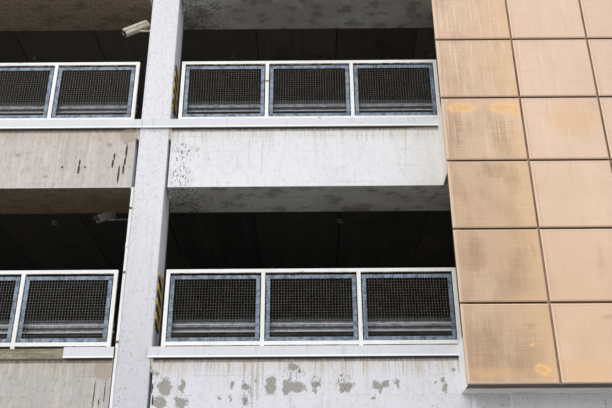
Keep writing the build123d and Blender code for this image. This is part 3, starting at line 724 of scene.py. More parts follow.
@dataclass(frozen=True)
class ShadedSoffit:
    """Underside of the floor planks, each cast in its own tone, painted dark as shade with some soot, and lighter
    under the top deck.
    """

    plank: float = 1.28
    offset: float = 0.13
    base: Colour = tone(74, 71, 65)
    dark: Colour = tone(46, 44, 41)
    high: Colour = tone(126, 119, 108)
    high_dark: Colour = tone(88, 82, 74)
    high_from: float = 8.0

    def material(self) -> bpy.types.Material:
        """Lay out the finish.

        Returns:
            The material.
        """
        r = Recipe("shaded_soffit")
        number = r.math("FLOOR", r.math("DIVIDE", r.math("ADD", r.x, self.offset), self.plank))
        shade = r.lot(number, r.math("FLOOR", r.z), 3.0)
        # The planks' dark tones are painted shade with some soot.
        colour = r.mix(shade, self.base, self.dark)
        upper = r.ease(r.z, self.high_from, self.high_from + 1.0)
        colour = r.mix(upper, colour, r.mix(shade, self.high, self.high_dark))
        mould_lines = r.clouds((14.0, 0.35, 2.0), 3, 0.5)
        colour = r.veil(colour, mould_lines, 0.5, 0.66, 0.35, tone(84, 80, 72))
        damp = r.clouds((0.9, 0.6, 1.0), 5, 0.65, (1.0, 7.0, 0.0))
        colour = r.veil(colour, damp, 0.56, 0.72, 0.6, tone(96, 88, 74))
        colour = r.veil(colour, damp, 0.42, 0.3, 0.5, tone(30, 28, 26))
        r.relief(mould_lines, 0.004, 0.35)
        r.relief(r.clouds((40.0, 40.0, 40.0), 3), 0.003, 0.3)
        return r.done(colour, 0.9)


@dataclass(frozen=True)
class DeckScreed:
    """Worn screed of the parking decks, with faded lines between the parking places and tyre marks."""

    dry: Colour = tone(142, 139, 132)
    damp: Colour = tone(104, 101, 96)
    line: Colour = tone(214, 212, 204)
    place_width: float = 2.4
    place_length: float = 5.0
    line_width: float = 0.09
    lane_edge: float = 1.1
    half_depth: float = 7.68

    def material(self) -> bpy.types.Material:
        """Lay out the finish.

        Returns:
            The material.
        """
        r = Recipe("deck_screed")
        broad = r.clouds((0.35, 0.5, 1.0), 6, 0.6)
        colour = r.mix(r.ease(broad, 0.35, 0.65), self.dry, self.damp)
        grain = r.clouds((38.0, 38.0, 38.0), 4, 0.7)
        colour = r.veil(colour, grain, 0.4, 0.7, 0.3, tone(80, 78, 74))
        from_middle = r.math("ABSOLUTE", r.math("SUBTRACT", r.y, MIDDLE_DEPTH))
        lane = r.math("ABSOLUTE", r.math("SUBTRACT", from_middle, self.lane_edge))
        marks = r.clouds((0.5, 7.0, 1.0), 4, 0.6, (3.0, 0.0, 0.0))
        colour = r.mix(r.times(r.ease(lane, 0.75, 0.15), r.ease(marks, 0.4, 0.65), 0.55), colour, tone(62, 60, 58))
        across = r.math("MODULO", r.math("ADD", r.x, 20 * self.place_width), self.place_width)
        across = r.math("ABSOLUTE", r.math("SUBTRACT", across, self.place_width / 2))
        reach = r.math("SUBTRACT", self.half_depth, from_middle)
        half_line = self.line_width / 2
        painted = r.ease(across, half_line + 0.006, half_line - 0.006)
        painted = r.times(painted, r.within(reach, 0.02, self.place_length))
        worn = r.ease(r.clouds((9.0, 9.0, 1.0), 5, 0.7), 0.35, 0.62)
        colour = r.mix(r.times(painted, worn, 0.85), colour, self.line)
        drips = r.clouds((2.1, 2.1, 1.0), 4, 0.6, (9.0, 4.0, 0.0))
        colour = r.mix(r.times(r.ease(drips, 0.64, 0.74), r.ease(reach, 5.0, 4.0), 0.6), colour, tone(54, 51, 48))
        r.relief(grain, 0.004, 0.4)
        return r.done(colour, r.ease(broad, 0.3, 0.7, 0.78, 0.93))


@dataclass(frozen=True)
class JointMortar:
    """Crumbling mortar in the open joints between beams and columns."""

    base: Colour = tone(206, 200, 190)
    crack: Colour = tone(96, 84, 68)
    clean_from: float = 3.4

    def material(self) -> bpy.types.Material:
        """Lay out the finish.

        Returns:
            The material.
        """
        r = Recipe("joint_mortar")
        lumps = r.clouds((18.0, 18.0, 18.0), 5, 0.7)
        colour = r.mix(r.ease(lumps, 0.4, 0.65), self.base, tone(168, 158, 142))
        cracks = r.clouds((34.0, 34.0, 22.0), 4, 0.6, (0.0, 1.0, 0.0), 0.8)
        colour = r.veil(colour, cracks, 0.56, 0.64, 0.8, self.crack)
        colour = r.veil(colour, r.x, self.clean_from, self.clean_from + 0.2, 0.95, tone(240, 240, 241))
        r.relief(lumps, 0.006, 0.7)
        return r.done(colour, 0.93)


@dataclass(frozen=True)
class CopingPaint:
    """Pale painted sheet metal of the copings, dusty on top, with a painted highlight along the lip at its foot."""

    base: Colour = tone(214, 215, 218)
    dust: Colour = tone(184, 182, 174)
    lip: Colour = tone(252, 252, 252)
    lit_lip_height: float = 0.017

    def material(self) -> bpy.types.Material:
        """Lay out the finish.

        Returns:
            The material.
        """
        r = Recipe("coping_paint")
        wash = r.clouds((1.4, 1.4, 5.0), 4, 0.6)
        colour = r.mix(r.ease(wash, 0.35, 0.7), self.base, tone(208, 210, 213))
        runs = r.clouds((30.0, 30.0, 3.0), 4, 0.65)
        colour = r.veil(colour, runs, 0.56, 0.7, 0.45, self.dust)
        grime = r.clouds((3.0, 3.0, 10.0), 5, 0.65, (4.0, 0.0, 0.0))
        colour = r.veil(colour, grime, 0.62, 0.74, 0.4, tone(142, 132, 116))
        dusty = r.times(r.ease(r.facing_z, 0.5, 0.9), r.ease(r.clouds((8.0, 8.0, 8.0), 4), 0.4, 0.65), 0.5)
        colour = r.mix(dusty, colour, tone(158, 152, 140))
        rusted = r.spots((7.0, 7.0, 9.0), 0.10, 0.04, 0.84, 0.88)
        colour = r.mix(r.times(rusted, 0.7), colour, tone(128, 92, 62))
        # Painted highlight: a near white band along the lip at the coping's foot, where light catches it.
        above_foot = r.math("MODULO", r.math("SUBTRACT", r.z, COPING_FOOT), STOREY)
        colour = r.veil(colour, above_foot, self.lit_lip_height + 0.002, self.lit_lip_height, 0.9, self.lip)
        r.relief(r.clouds((2.0, 2.0, 3.0), 2), 0.006, 0.15)
        return r.done(colour, r.ease(runs, 0.4, 0.7, 0.42, 0.6))


@dataclass(frozen=True)
class WhiteSteel:
    """White paint on steel rails and posts, with rust where the water stands."""

    base: Colour = tone(238, 238, 236)
    rust: Colour = tone(136, 84, 46)
    old_rust: Colour = tone(92, 58, 38)

    def material(self) -> bpy.types.Material:
        """Lay out the finish.

        Returns:
            The material.
        """
        r = Recipe("white_steel")
        wash = r.clouds((2.5, 2.5, 2.5), 4, 0.6)
        colour = r.mix(r.ease(wash, 0.35, 0.7), self.base, tone(226, 225, 220))
        runs = r.clouds((40.0, 40.0, 5.0), 4, 0.65)
        colour = r.veil(colour, runs, 0.58, 0.72, 0.35, tone(188, 178, 160))
        blooms = r.clouds((6.0, 6.0, 10.0), 5, 0.7, (1.0, 8.0, 3.0))
        spots, chance = r.cells((4.2, 4.2, 9.0))
        picked = r.ease(chance, 0.80, 0.86)
        rusted = r.times(r.ease(spots, 0.16, 0.06), picked)
        below = r.times(r.ease(r.facing_z, -0.4, -0.8), r.ease(blooms, 0.46, 0.56))
        rusted = r.most(rusted, below, r.ease(blooms, 0.71, 0.75))
        halo = r.most(r.times(r.ease(spots, 0.30, 0.08), picked), r.ease(blooms, 0.66, 0.73))
        colour = r.mix(r.times(halo, 0.4), colour, tone(196, 160, 118))
        flakes = r.ease(r.clouds((90.0, 90.0, 90.0), 3), 0.42, 0.6)
        colour = r.mix(r.times(rusted, 0.9), colour, r.mix(flakes, self.rust, self.old_rust))
        # Rust on the undersides is painted lighter than elsewhere: real rust, lightened as painted light against
        # their shade.
        colour = r.mix(r.times(below, 0.7), colour, r.mix(flakes, tone(206, 152, 104), tone(150, 100, 66)))
        r.relief(rusted, 0.001, -0.5)
        r.relief(r.clouds((60.0, 60.0, 60.0), 3), 0.001, 0.2)
        return r.done(colour, r.ease(rusted, 0, 1, 0.42, 0.85))


@dataclass(frozen=True)
class Galvanised:
    """Hot dipped zinc, blue grey and weathered dull, with a fine spangle, and on folded beams painted light on the
    tops and painted shade on the undersides.
    """

    name: str = "galvanised"
    base: Colour = tone(100, 113, 128)
    bright: Colour = tone(156, 169, 183)
    dull: Colour = tone(60, 70, 80)
    metallic: float = 0.3
    fold_light_and_shade: float = 0.0

    def material(self) -> bpy.types.Material:
        """Lay out the finish.

        Returns:
            The material.
        """
        r = Recipe(self.name)
        grains = r.cells((60.0, 60.0, 60.0))[1]
        colour = r.mix(r.times(grains, 0.6), self.base, self.bright)
        cloud = r.clouds((16.0, 16.0, 16.0), 5, 0.65)
        colour = r.veil(colour, cloud, 0.42, 0.62, 0.8, self.dull)
        stain = r.clouds((26.0, 26.0, 4.0), 4, 0.6, (0.0, 2.0, 0.0))
        colour = r.veil(colour, stain, 0.58, 0.72, 0.55, tone(108, 88, 68))
        # Painted light on faces that look up and painted shade on faces that look down, scaled by the field that
        # sets it.
        rinsed_and_lit = r.times(r.ease(r.facing_z, 0.15, 0.6), self.fold_light_and_shade)
        colour = r.mix(rinsed_and_lit, colour, tone(226, 232, 240))
        painted_shade = r.times(r.ease(r.facing_z, -0.15, -0.6), self.fold_light_and_shade)
        colour = r.mix(painted_shade, colour, tone(44, 44, 46))
        r.relief(r.clouds((45.0, 45.0, 45.0), 3), 0.0012, 0.2)
        return r.done(colour, r.ease(grains, 0, 1, 0.42, 0.62), self.metallic)


@dataclass(frozen=True)
class MeshWire:
    """Crimped zinc wire gone grey brown, with brighter beads along it."""

    base: Colour = tone(116, 111, 104)
    dull: Colour = tone(90, 85, 78)

    def material(self) -> bpy.types.Material:
        """Lay out the finish.

        Returns:
            The material.
        """
        r = Recipe("mesh_wire")
        cloud = r.clouds((9.0, 9.0, 9.0), 4, 0.6)
        colour = r.mix(r.ease(cloud, 0.35, 0.65), self.base, self.dull)
        beads = r.clouds((95.0, 95.0, 95.0), 2)
        colour = r.veil(colour, beads, 0.5, 0.64, 0.4, tone(152, 148, 141))
        colour = r.veil(colour, r.x, 0.1, -0.1, 0.2, tone(182, 178, 171))
        r.relief(beads, 0.001, 0.4)
        return r.done(colour, 0.6, 0.2)


@dataclass(frozen=True)
class TanCladding:
    """Tan cladding panels, each with its own shade, stained dark at the left and scuffed orange in places, with
    painted highlights on their bevels and painted shade deep in the joints.
    """

    joint: float = 4.587
    back: float = -8.204
    bottom: float = CLADDING_FOOT
    column: float = 0.970
    row: float = PANEL_HEIGHT
    low: Colour = tone(196, 164, 132)
    high: Colour = tone(216, 184, 155)
    pink: Colour = tone(221, 191, 167)
    stain: Colour = tone(166, 138, 112)
    scuff: Colour = tone(232, 178, 112)
    edge: Colour = tone(232, 206, 178)
    scuffs: Tuple[Patch, ...] = (
        (3.86, 7.065, 0.190, 0.066), (4.36, 7.070, 0.175, 0.078), (4.51, 7.03, 0.040, 0.087),
        (4.35, 4.07, 0.022, 0.016), (4.42, 3.80, 0.090, 0.060), (7.35, 6.15, 0.090, 0.050),
        (9.40, 8.78, 0.110, 0.050), (10.2, 4.42, 0.080, 0.060),
    )
    stains: Tuple[Patch, ...] = (
        (4.34, 5.05, 0.101, 0.132), (4.29, 4.79, 0.132, 0.105), (4.49, 5.13, 0.034, 0.097),
        (3.84, 5.13, 0.067, 0.169), (3.82, 4.02, 0.200, 0.230), (4.26, 3.97, 0.160, 0.230),
        (4.35, 4.25, 0.032, 0.044), (5.23, 5.04, 0.034, 0.120), (5.21, 4.36, 0.050, 0.030),
        (3.74, 6.74, 0.073, 0.251), (4.32, 6.64, 0.108, 0.249), (4.35, 6.10, 0.070, 0.146),
        (4.17, 6.19, 0.118, 0.080),
    )
    washes: Tuple[Patch, ...] = (
        (4.90, 3.77, 0.420, 0.130), (5.90, 3.76, 0.500, 0.110), (3.92, 3.77, 0.300, 0.050),
        (5.20, 6.90, 0.300, 0.260), (8.60, 4.60, 0.600, 0.220),
    )

    def material(self) -> bpy.types.Material:
        """Lay out the finish.

        Returns:
            The material.
        """
        r = Recipe("tan_cladding")
        across = r.math("DIVIDE", r.math("SUBTRACT", r.x, self.joint - self.column), self.column)
        upward = r.math("DIVIDE", r.math("SUBTRACT", r.z, self.bottom), self.row)
        number = r.most(0.0, r.math("FLOOR", across))
        storey = r.math("FLOOR", upward)
        shade = r.lot(number, storey, 1.0)
        colour = r.mix(r.ease(r.z, 4.0, 8.6), self.low, self.high)
        rosy = r.mix(r.ease(r.z, 3.6, 8.0), tone(217, 183, 151), self.pink)
        colour = r.mix(r.ease(number, 0.2, 0.8), colour, rosy)
        colour = r.mix(r.times(shade, 0.22), colour, tone(238, 208, 178))
        left_first = r.ease(number, 0.8, 0.2)

        cloud = r.clouds((0.9, 0.9, 0.8), 4, 0.55)
        colour = r.veil(colour, cloud, 0.45, 0.68, 0.35, tone(236, 208, 182))
        soil = r.clouds((3.4, 3.4, 1.9), 5, 0.6, (0.0, 1.0, 0.4))
        depth = r.math("ADD", r.times(left_first, 0.32), 0.10)
        colour = r.veil(colour, soil, 0.47, 0.68, depth, self.stain)
        brushed = r.clouds((2.2, 2.2, 85.0), 3, 0.6)
        wiped = r.clouds((62.0, 62.0, 2.6), 3, 0.6, (0.7, 0.0, 0.3))
        woven = r.math("ADD", r.times(r.ease(brushed, 0.42, 0.62), 0.5), r.times(r.ease(wiped, 0.42, 0.62), 0.5))
        marks = r.ease(r.reach(self.stains, 0.22, 5.0, 0.35), 2.0, 0.5)
        marks = r.times(marks, r.ease(woven, 0.0, 0.8, 0.5, 1.0))
        marks = r.times(marks, r.ease(r.x, self.joint + 0.013, self.joint - 0.017, 0.5, 1.0))
        colour = r.mix(r.times(marks, 0.58), colour, tone(140, 110, 84))
        from_left = r.math("SUBTRACT", r.x, self.joint - self.column)
        edge_dirt = r.times(r.ease(from_left, 0.42, 0.02), r.ease(woven, 0.1, 0.8, 0.25, 1.0))
        edge_dirt = r.times(edge_dirt, r.ease(r.z, 8.6, 7.2), 0.34)
        colour = r.mix(edge_dirt, colour, tone(158, 124, 92))
        yellowed = r.times(left_first, r.ease(from_left, 0.45, 0.95))
        colour = r.mix(r.times(yellowed, 0.4), colour, tone(232, 192, 140))
        colour = r.mix(r.times(woven, left_first, 0.2), colour, tone(172, 138, 106))
        colour = r.veil(colour, brushed, 0.48, 0.66, 0.14, tone(188, 156, 126))
        runs = r.clouds((24.0, 24.0, 0.9), 4, 0.6, (0.3, 0.0, 0.0))
        within_row = r.math("FRACT", upward)
        rinsed_and_lit = r.times(r.ease(runs, 0.56, 0.7), r.ease(within_row, 0.3, 1.0), 0.14)
        colour = r.mix(rinsed_and_lit, colour, tone(226, 206, 186))
        pale_runs = r.clouds((34.0, 34.0, 1.6), 4, 0.65, (2.0, 0.0, 1.0))
        upper_left = r.times(r.ease(r.z, 5.6, 7.2), r.ease(r.x, 6.2, 4.8), 0.4)
        colour = r.veil(colour, pale_runs, 0.54, 0.66, upper_left, tone(240, 222, 204))
        weave = r.clouds((95.0, 95.0, 60.0), 2, 0.6)
        colour = r.veil(colour, weave, 0.46, 0.62, 0.14, tone(170, 138, 108))
        washed = r.ease(r.reach(self.washes, 0.2, 4.0, 0.3), 1.6, 0.3)
        washed = r.times(washed, r.ease(woven, 0.0, 0.9, 0.5, 1.0), 0.5)
        colour = r.mix(washed, colour, tone(228, 178, 124))
        near = r.reach(self.scuffs, 0.13, 11.0, 0.35)
        rubbed = r.ease(r.clouds((26.0, 26.0, 40.0), 4, 0.65, (5.0, 0.0, 2.0)), 0.36, 0.60, 0.35, 1.0)
        colour = r.mix(r.times(r.ease(near, 1.5, 0.5), rubbed, 0.85), colour, self.scuff)
        brim = r.times(r.ease(near, 0.45, 0.75), r.ease(near, 1.1, 0.85), rubbed)
        colour = r.mix(r.times(brim, 0.5), colour, tone(244, 200, 142))
        within_column = r.math("SUBTRACT", across, r.math("FLOOR", across))
        rim = r.most(r.within(within_row, 0.945, 0.965, 0.006), r.within(within_column, 0.035, 0.055, 0.006))
        colour = r.mix(r.times(rim, 0.35), colour, tone(186, 160, 146))
        # Painted highlights along the panel edges and on the bevels, and painted shade on the sides deep in the
        # joints.
        edge = r.most(r.ease(within_row, 0.968, 0.978), r.ease(within_row, 0.030, 0.022))
        edge = r.most(edge, r.ease(within_column, 0.030, 0.022))
        colour = r.mix(r.times(edge, 0.4), colour, self.edge)
        sloped = r.ease(r.math("ABSOLUTE", r.facing_y), 0.93, 0.85)
        colour = r.mix(r.times(sloped, 0.75), colour, self.edge)
        deep = r.times(sloped, r.ease(r.y, self.back - 0.008, self.back), 0.85)
        colour = r.mix(deep, colour, tone(120, 88, 64))

        r.relief(r.clouds((34.0, 34.0, 34.0), 4, 0.65), 0.002, 0.2)
        r.relief(brushed, 0.0008, 0.3)
        r.relief(r.clouds((1.6, 1.6, 1.6), 2), 0.008, 0.15)
        return r.done(colour, r.ease(soil, 0.4, 0.7, 0.55, 0.75))


@dataclass(frozen=True)
class TanSteel:
    """Tan paint on the uprights behind the cladding, browned by the dirt that washes through the joints."""

    name: str = "tan_steel"
    base: Colour = tone(188, 156, 132)
    dirt: Colour = tone(142, 112, 90)

    def material(self) -> bpy.types.Material:
        """Lay out the finish.

        Returns:
            The material.
        """
        r = Recipe(self.name)
        runs = r.clouds((30.0, 30.0, 1.2), 4, 0.65)
        colour = r.mix(r.ease(runs, 0.42, 0.66), self.base, self.dirt)
        cloud = r.clouds((5.0, 5.0, 5.0), 4, 0.6)
        colour = r.veil(colour, cloud, 0.5, 0.7, 0.5, tone(112, 84, 62))
        r.relief(r.clouds((60.0, 60.0, 60.0), 3), 0.001, 0.25)
        return r.done(colour, r.ease(cloud, 0.3, 0.7, 0.55, 0.8))


@dataclass(frozen=True)
class CasingSheet:
    """White sheet at the ends of the cladding, grey with dust and spotted with rust on its underside, with a
    painted shadow along the underside towards the panels.
    """

    base: Colour = tone(250, 250, 250)
    dusty: Colour = tone(246, 244, 238)
    rust: Colour = tone(150, 108, 72)
    front_strip: float = -8.04

    def material(self) -> bpy.types.Material:
        """Lay out the finish.

        Returns:
            The material.
        """
        r = Recipe("casing_sheet")
        wash = r.clouds((3.0, 3.0, 1.2), 4, 0.6)
        colour = r.mix(r.ease(wash, 0.35, 0.7), self.base, tone(236, 235, 232))
        colour = r.mix(r.ease(r.z, 5.2, 6.4), colour, tone(232, 226, 216))
        below = r.ease(r.facing_z, -0.4, -0.8)
        film = r.clouds((2.2, 6.0, 2.2), 5, 0.65)
        dust = r.mix(r.ease(film, 0.40, 0.70), self.dusty, tone(214, 210, 200))
        rusted = r.spots((7.0, 9.0, 7.0), 0.20, 0.08, 0.72, 0.78)
        dust = r.mix(r.times(rusted, 0.5), dust, self.rust)
        # Painted shadow: a dark strip on the underside towards the panels, where the joint below them lies in
        # shade.
        dust = r.veil(dust, r.y, self.front_strip + 0.05, self.front_strip, 0.9, tone(70, 52, 38))
        colour = r.mix(below, colour, dust)
        r.relief(r.clouds((50.0, 50.0, 50.0), 3), 0.001, 0.25)
        return r.done(colour, r.ease(film, 0.3, 0.7, 0.5, 0.75))


@dataclass(frozen=True)
class StripedGuard:
    """Yellow and black diagonal bands on the column guards, scraped by bumpers."""

    yellow: Colour = tone(230, 192, 72)
    black: Colour = tone(22, 22, 26)
    pitch: float = 0.178
    slope: float = -0.36

    def material(self) -> bpy.types.Material:
        """Lay out the finish.

        Returns:
            The material.
        """
        r = Recipe("striped_guard")
        slope = r.math("ADD", r.z, r.times(r.math("ABSOLUTE", r.y), self.slope))
        band = r.math("FRACT", r.math("DIVIDE", slope, self.pitch))
        band = r.within(band, 0.02, 0.5, 0.02)
        colour = r.mix(band, self.black, self.yellow)
        scrape = r.clouds((5.0, 12.0, 46.0), 5, 0.7)
        colour = r.veil(colour, scrape, 0.60, 0.72, 0.6, tone(150, 146, 138))
        colour = r.veil(colour, r.clouds((6.0, 6.0, 6.0), 3), 0.4, 0.7, 0.3, tone(110, 96, 62))
        r.relief(scrape, 0.001, 0.3)
        return r.done(colour, r.ease(scrape, 0.4, 0.7, 0.4, 0.7))


@dataclass(frozen=True)
class CameraCase:
    """Powder coated case of the cameras, yellowed and dusty on top, painted near black as shadow past a given x."""

    name: str = "camera_case"
    base: Colour = tone(202, 193, 174)
    dust: Colour = tone(146, 134, 112)
    painted_shadow_from: float = 9.0

    def material(self) -> bpy.types.Material:
        """Lay out the finish.

        Returns:
            The material.
        """
        r = Recipe(self.name)
        cloud = r.clouds((22.0, 22.0, 22.0), 4, 0.65)
        colour = r.veil(self.base, cloud, 0.42, 0.68, 0.6, self.dust)
        colour = r.veil(colour, r.facing_z, 0.3, 0.9, 0.5, self.dust)
        # Painted shadow: the case is near black past the given x.
        colour = r.mix(r.ease(r.x, self.painted_shadow_from - 0.02, self.painted_shadow_from), colour, tone(34, 32, 29))
        r.relief(r.clouds((260.0, 260.0, 260.0), 2), 0.0006, 0.3)
        return r.done(colour, r.ease(cloud, 0.3, 0.7, 0.4, 0.6))


@dataclass(frozen=True)
class DarkGlass:
    """Dark window of a camera under a film of dust."""

    def material(self) -> bpy.types.Material:
        """Lay out the finish.

        Returns:
            The material.
        """
        r = Recipe("dark_glass")
        dust = r.clouds((90.0, 90.0, 90.0), 4, 0.7)
        colour = r.veil(tone(14, 15, 18), dust, 0.5, 0.7, 0.5, tone(60, 58, 54))
        r.shader.inputs["Coat Weight"].default_value = 0.6
        return r.done(colour, r.ease(dust, 0.4, 0.7, 0.12, 0.4))


@dataclass(frozen=True)
class LampCover:
    """Frosted cover of the ceiling lights under a film of soot."""

    base: Colour = tone(150, 148, 140)
    soot: Colour = tone(82, 78, 72)

    def material(self) -> bpy.types.Material:
        """Lay out the finish.

        Returns:
            The material.
        """
        r = Recipe("lamp_cover")
        film = r.clouds((28.0, 28.0, 28.0), 4, 0.65)
        colour = r.mix(r.ease(film, 0.35, 0.65), self.base, self.soot)
        r.relief(r.clouds((180.0, 180.0, 180.0), 2), 0.0006, 0.3)
        return r.done(colour, r.ease(film, 0.3, 0.7, 0.3, 0.55))


class Workpiece:
    """A mesh under construction."""

    def __init__(self) -> None:
        """Start with nothing."""
        self.mesh = bmesh.new()

    @classmethod
    def copy_of(cls, node: str) -> "Workpiece":
        """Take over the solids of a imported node, merged and with their flat faces whole.

        Args:
            node: the node's name.

        Returns:
            The work with a copy of its mesh.
        """
        made = cls()
        made.mesh.from_mesh(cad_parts[node].data)
        bmesh.ops.remove_doubles(made.mesh, verts=made.mesh.verts, dist=MERGE_DISTANCE)
        flat = math.radians(0.5)
        bmesh.ops.dissolve_limit(made.mesh, angle_limit=flat, verts=made.mesh.verts, edges=made.mesh.edges)
        return made

    def soften(self, width: float, segments: int = 2, sharp: float = 30.0) -> None:
        """Round the sharp edges.

        Args:
            width: how far the rounding reaches.
            segments: how many faces it has.
            sharp: the angle in degrees above which an edge is sharp.
        """
        limit = math.radians(sharp)
        edges = [edge for edge in self.mesh.edges if edge.is_manifold and edge.calc_face_angle(0.0) > limit]
        bmesh.ops.bevel(
            self.mesh, geom=edges, offset=width, offset_type="OFFSET", segments=segments, profile=0.5,
            affect="EDGES", clamp_overlap=True, material=-1,
        )

    def block(self, low: Sequence[float], high: Sequence[float]) -> None:
        """Add a bar.

        Args:
            low, high: its lowest and highest corner.
        """
        low, high = Vector(low), Vector(high)
        matrix = Matrix.Translation((low + high) / 2) @ Matrix.Diagonal((*(high - low), 1.0))
        bmesh.ops.create_cube(self.mesh, size=1.0, matrix=matrix)

    def rod(self, start: Sequence[float], end: Sequence[float], radius: float, sides: int, capped: bool) -> None:
        """Add a rod between two points.

        Args:
            start, end: the middles of its ends.
            radius: its radius.
            sides: how many sides it has.
            capped: whether its ends are closed.
        """
        start, end = Vector(start), Vector(end)
        axis = end - start
        turn = axis.to_track_quat("Z", "Y").to_matrix().to_4x4()
        bmesh.ops.create_cone(
            self.mesh, cap_ends=capped, segments=sides, radius1=radius, radius2=radius,
            depth=axis.length, matrix=Matrix.Translation((start + end) / 2) @ turn,
        )

    def turned(self, profile: Sequence[Tuple[float, float]], place: Matrix, steps: int) -> None:
        """Add a turned form.

        Args:
            profile: its radius and height at each point.
            place: where its axis goes.
            steps: how many faces go round.
        """
        part = bmesh.new()
        points = [part.verts.new((radius, 0.0, height)) for radius, height in profile]
        for first, second in zip(points, points[1:]):
            part.edges.new((first, second))
        geometry = list(part.verts) + list(part.edges)
        bmesh.ops.spin(
            part, geom=geometry, cent=(0, 0, 0), axis=(0, 0, 1), angle=math.tau, steps=steps, use_merge=True,
        )
        bmesh.ops.remove_doubles(part, verts=part.verts, dist=MERGE_DISTANCE)
        bmesh.ops.recalc_face_normals(part, faces=part.faces)
        self.add(part, place)

    def add(self, part: bmesh.types.BMesh, place: Matrix) -> None:
        """Add a finished part and free it.

        Args:
            part: the part.
            place: where it goes.
        """
        carrier = bpy.data.meshes.new("carrier")
        part.to_mesh(carrier)
        part.free()
        self.add_mesh(carrier, place)
        bpy.data.meshes.remove(carrier)

    def add_mesh(self, part: bpy.types.Mesh, place: Matrix) -> None:
        """Add a copy of a mesh.

        Args:
            part: the mesh.
            place: where the copy goes.
        """
        moved = part.copy()
        moved.transform(place)
        self.mesh.from_mesh(moved)
        bpy.data.meshes.remove(moved)

    def template(self, name: str) -> bpy.types.Mesh:
        """Turn the work into a mesh that is placed many times.

        Args:
            name: the mesh's name.

        Returns:
            The mesh.
        """
        made = bpy.data.meshes.new(name)
        self.mesh.to_mesh(made)
        self.mesh.free()
        return made

    def deliver(
        self,
        name: str,
        finish: bpy.types.Material,
        slot: str,
        nodes: Sequence[str] = (),
        smooth: Optional[float] = None,
    ) -> bpy.types.Object:
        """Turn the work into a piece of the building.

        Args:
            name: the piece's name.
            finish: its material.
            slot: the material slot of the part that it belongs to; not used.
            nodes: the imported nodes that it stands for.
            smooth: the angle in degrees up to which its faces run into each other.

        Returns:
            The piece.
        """
        shape = bpy.data.meshes.new(name)
        self.mesh.to_mesh(shape)
        self.mesh.free()
        if smooth is not None:
            shape.shade_smooth()
            shape.set_sharp_from_angle(angle=math.radians(smooth))
        shape.materials.append(finish)
        piece = bpy.data.objects.new(name, shape)
        bpy.context.scene.collection.objects.link(piece)
        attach(piece, "root")
        if nodes:
            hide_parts(*nodes)
        log.info("%s: %d faces", name, len(shape.polygons))
        return piece


def solids_of(node: str) -> List[Tuple[Vector, Vector]]:
    """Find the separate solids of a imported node.

    Args:
        node: the node's name.

    Returns:
        The lowest and highest corner of each solid.
    """
    work = bmesh.new()
    work.from_mesh(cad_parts[node].data)
    bmesh.ops.remove_doubles(work, verts=work.verts, dist=MERGE_DISTANCE)
    seen = set()
    boxes = []
    for start in work.verts:
        if start.index in seen:
            continue
        seen.add(start.index)
        queue, points = [start], []
        while queue:
            vert = queue.pop()
            points.append(vert.co.copy())
            for edge in vert.link_edges:
                other = edge.other_vert(vert)
                if other.index not in seen:
                    seen.add(other.index)
                    queue.append(other)
        low = Vector([min(point[k] for point in points) for k in range(3)])
        high = Vector([max(point[k] for point in points) for k in range(3)])
        boxes.append((low, high))
    work.free()
    return boxes


@dataclass
class CarriedNode:
    """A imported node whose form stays, with its edges rounded as the real piece has them."""

    node: str
    slot: str
    edge: float
    segments: int = 2
    smooth: Optional[float] = None

    def build(self, finish: bpy.types.Material) -> bpy.types.Object:
        """Round the edges of the node's solids and dress them.

        Args:
            finish: their finish.

        Returns:
            The piece.
        """
        work = Workpiece.copy_of(self.node)
        work.soften(self.edge, self.segments)
        return work.deliver(f"{self.node}_worn", finish, self.slot, [self.node], self.smooth)


@dataclass
class Structure:
    """Columns, beams, planks, decks and kerbs."""

    arris: float = 0.008
    plank_edge: float = 0.004
    kerb_edge: float = 0.010

    def build(self) -> None:
        """Dress every part of the structure."""
        beams = PaintedBeams().material()
        columns = PaintedColumns().material()
        bare = BareConcrete().material()
        soffit = ShadedSoffit().material()
        screed = DeckScreed().material()
        for side in ("front", "rear", "end"):
            CarriedNode(f"{side}_beams", "painted_concrete", self.arris).build(beams)
            CarriedNode(f"{side}_columns", "painted_concrete", self.arris).build(columns)
            CarriedNode(f"{side}_kerbs", "painted_concrete", self.kerb_edge).build(beams)
        for node in ("inner_columns", "inner_beams", "ground_slab"):
            CarriedNode(node, "bare_concrete", self.arris).build(bare)
        for number in (1, 2, 3):
            CarriedNode(f"floor_planks_{number}", "soffit_concrete", self.plank_edge, 1).build(soffit)
            CarriedNode(f"deck_{number}", "deck_screed", self.plank_edge, 1).build(screed)


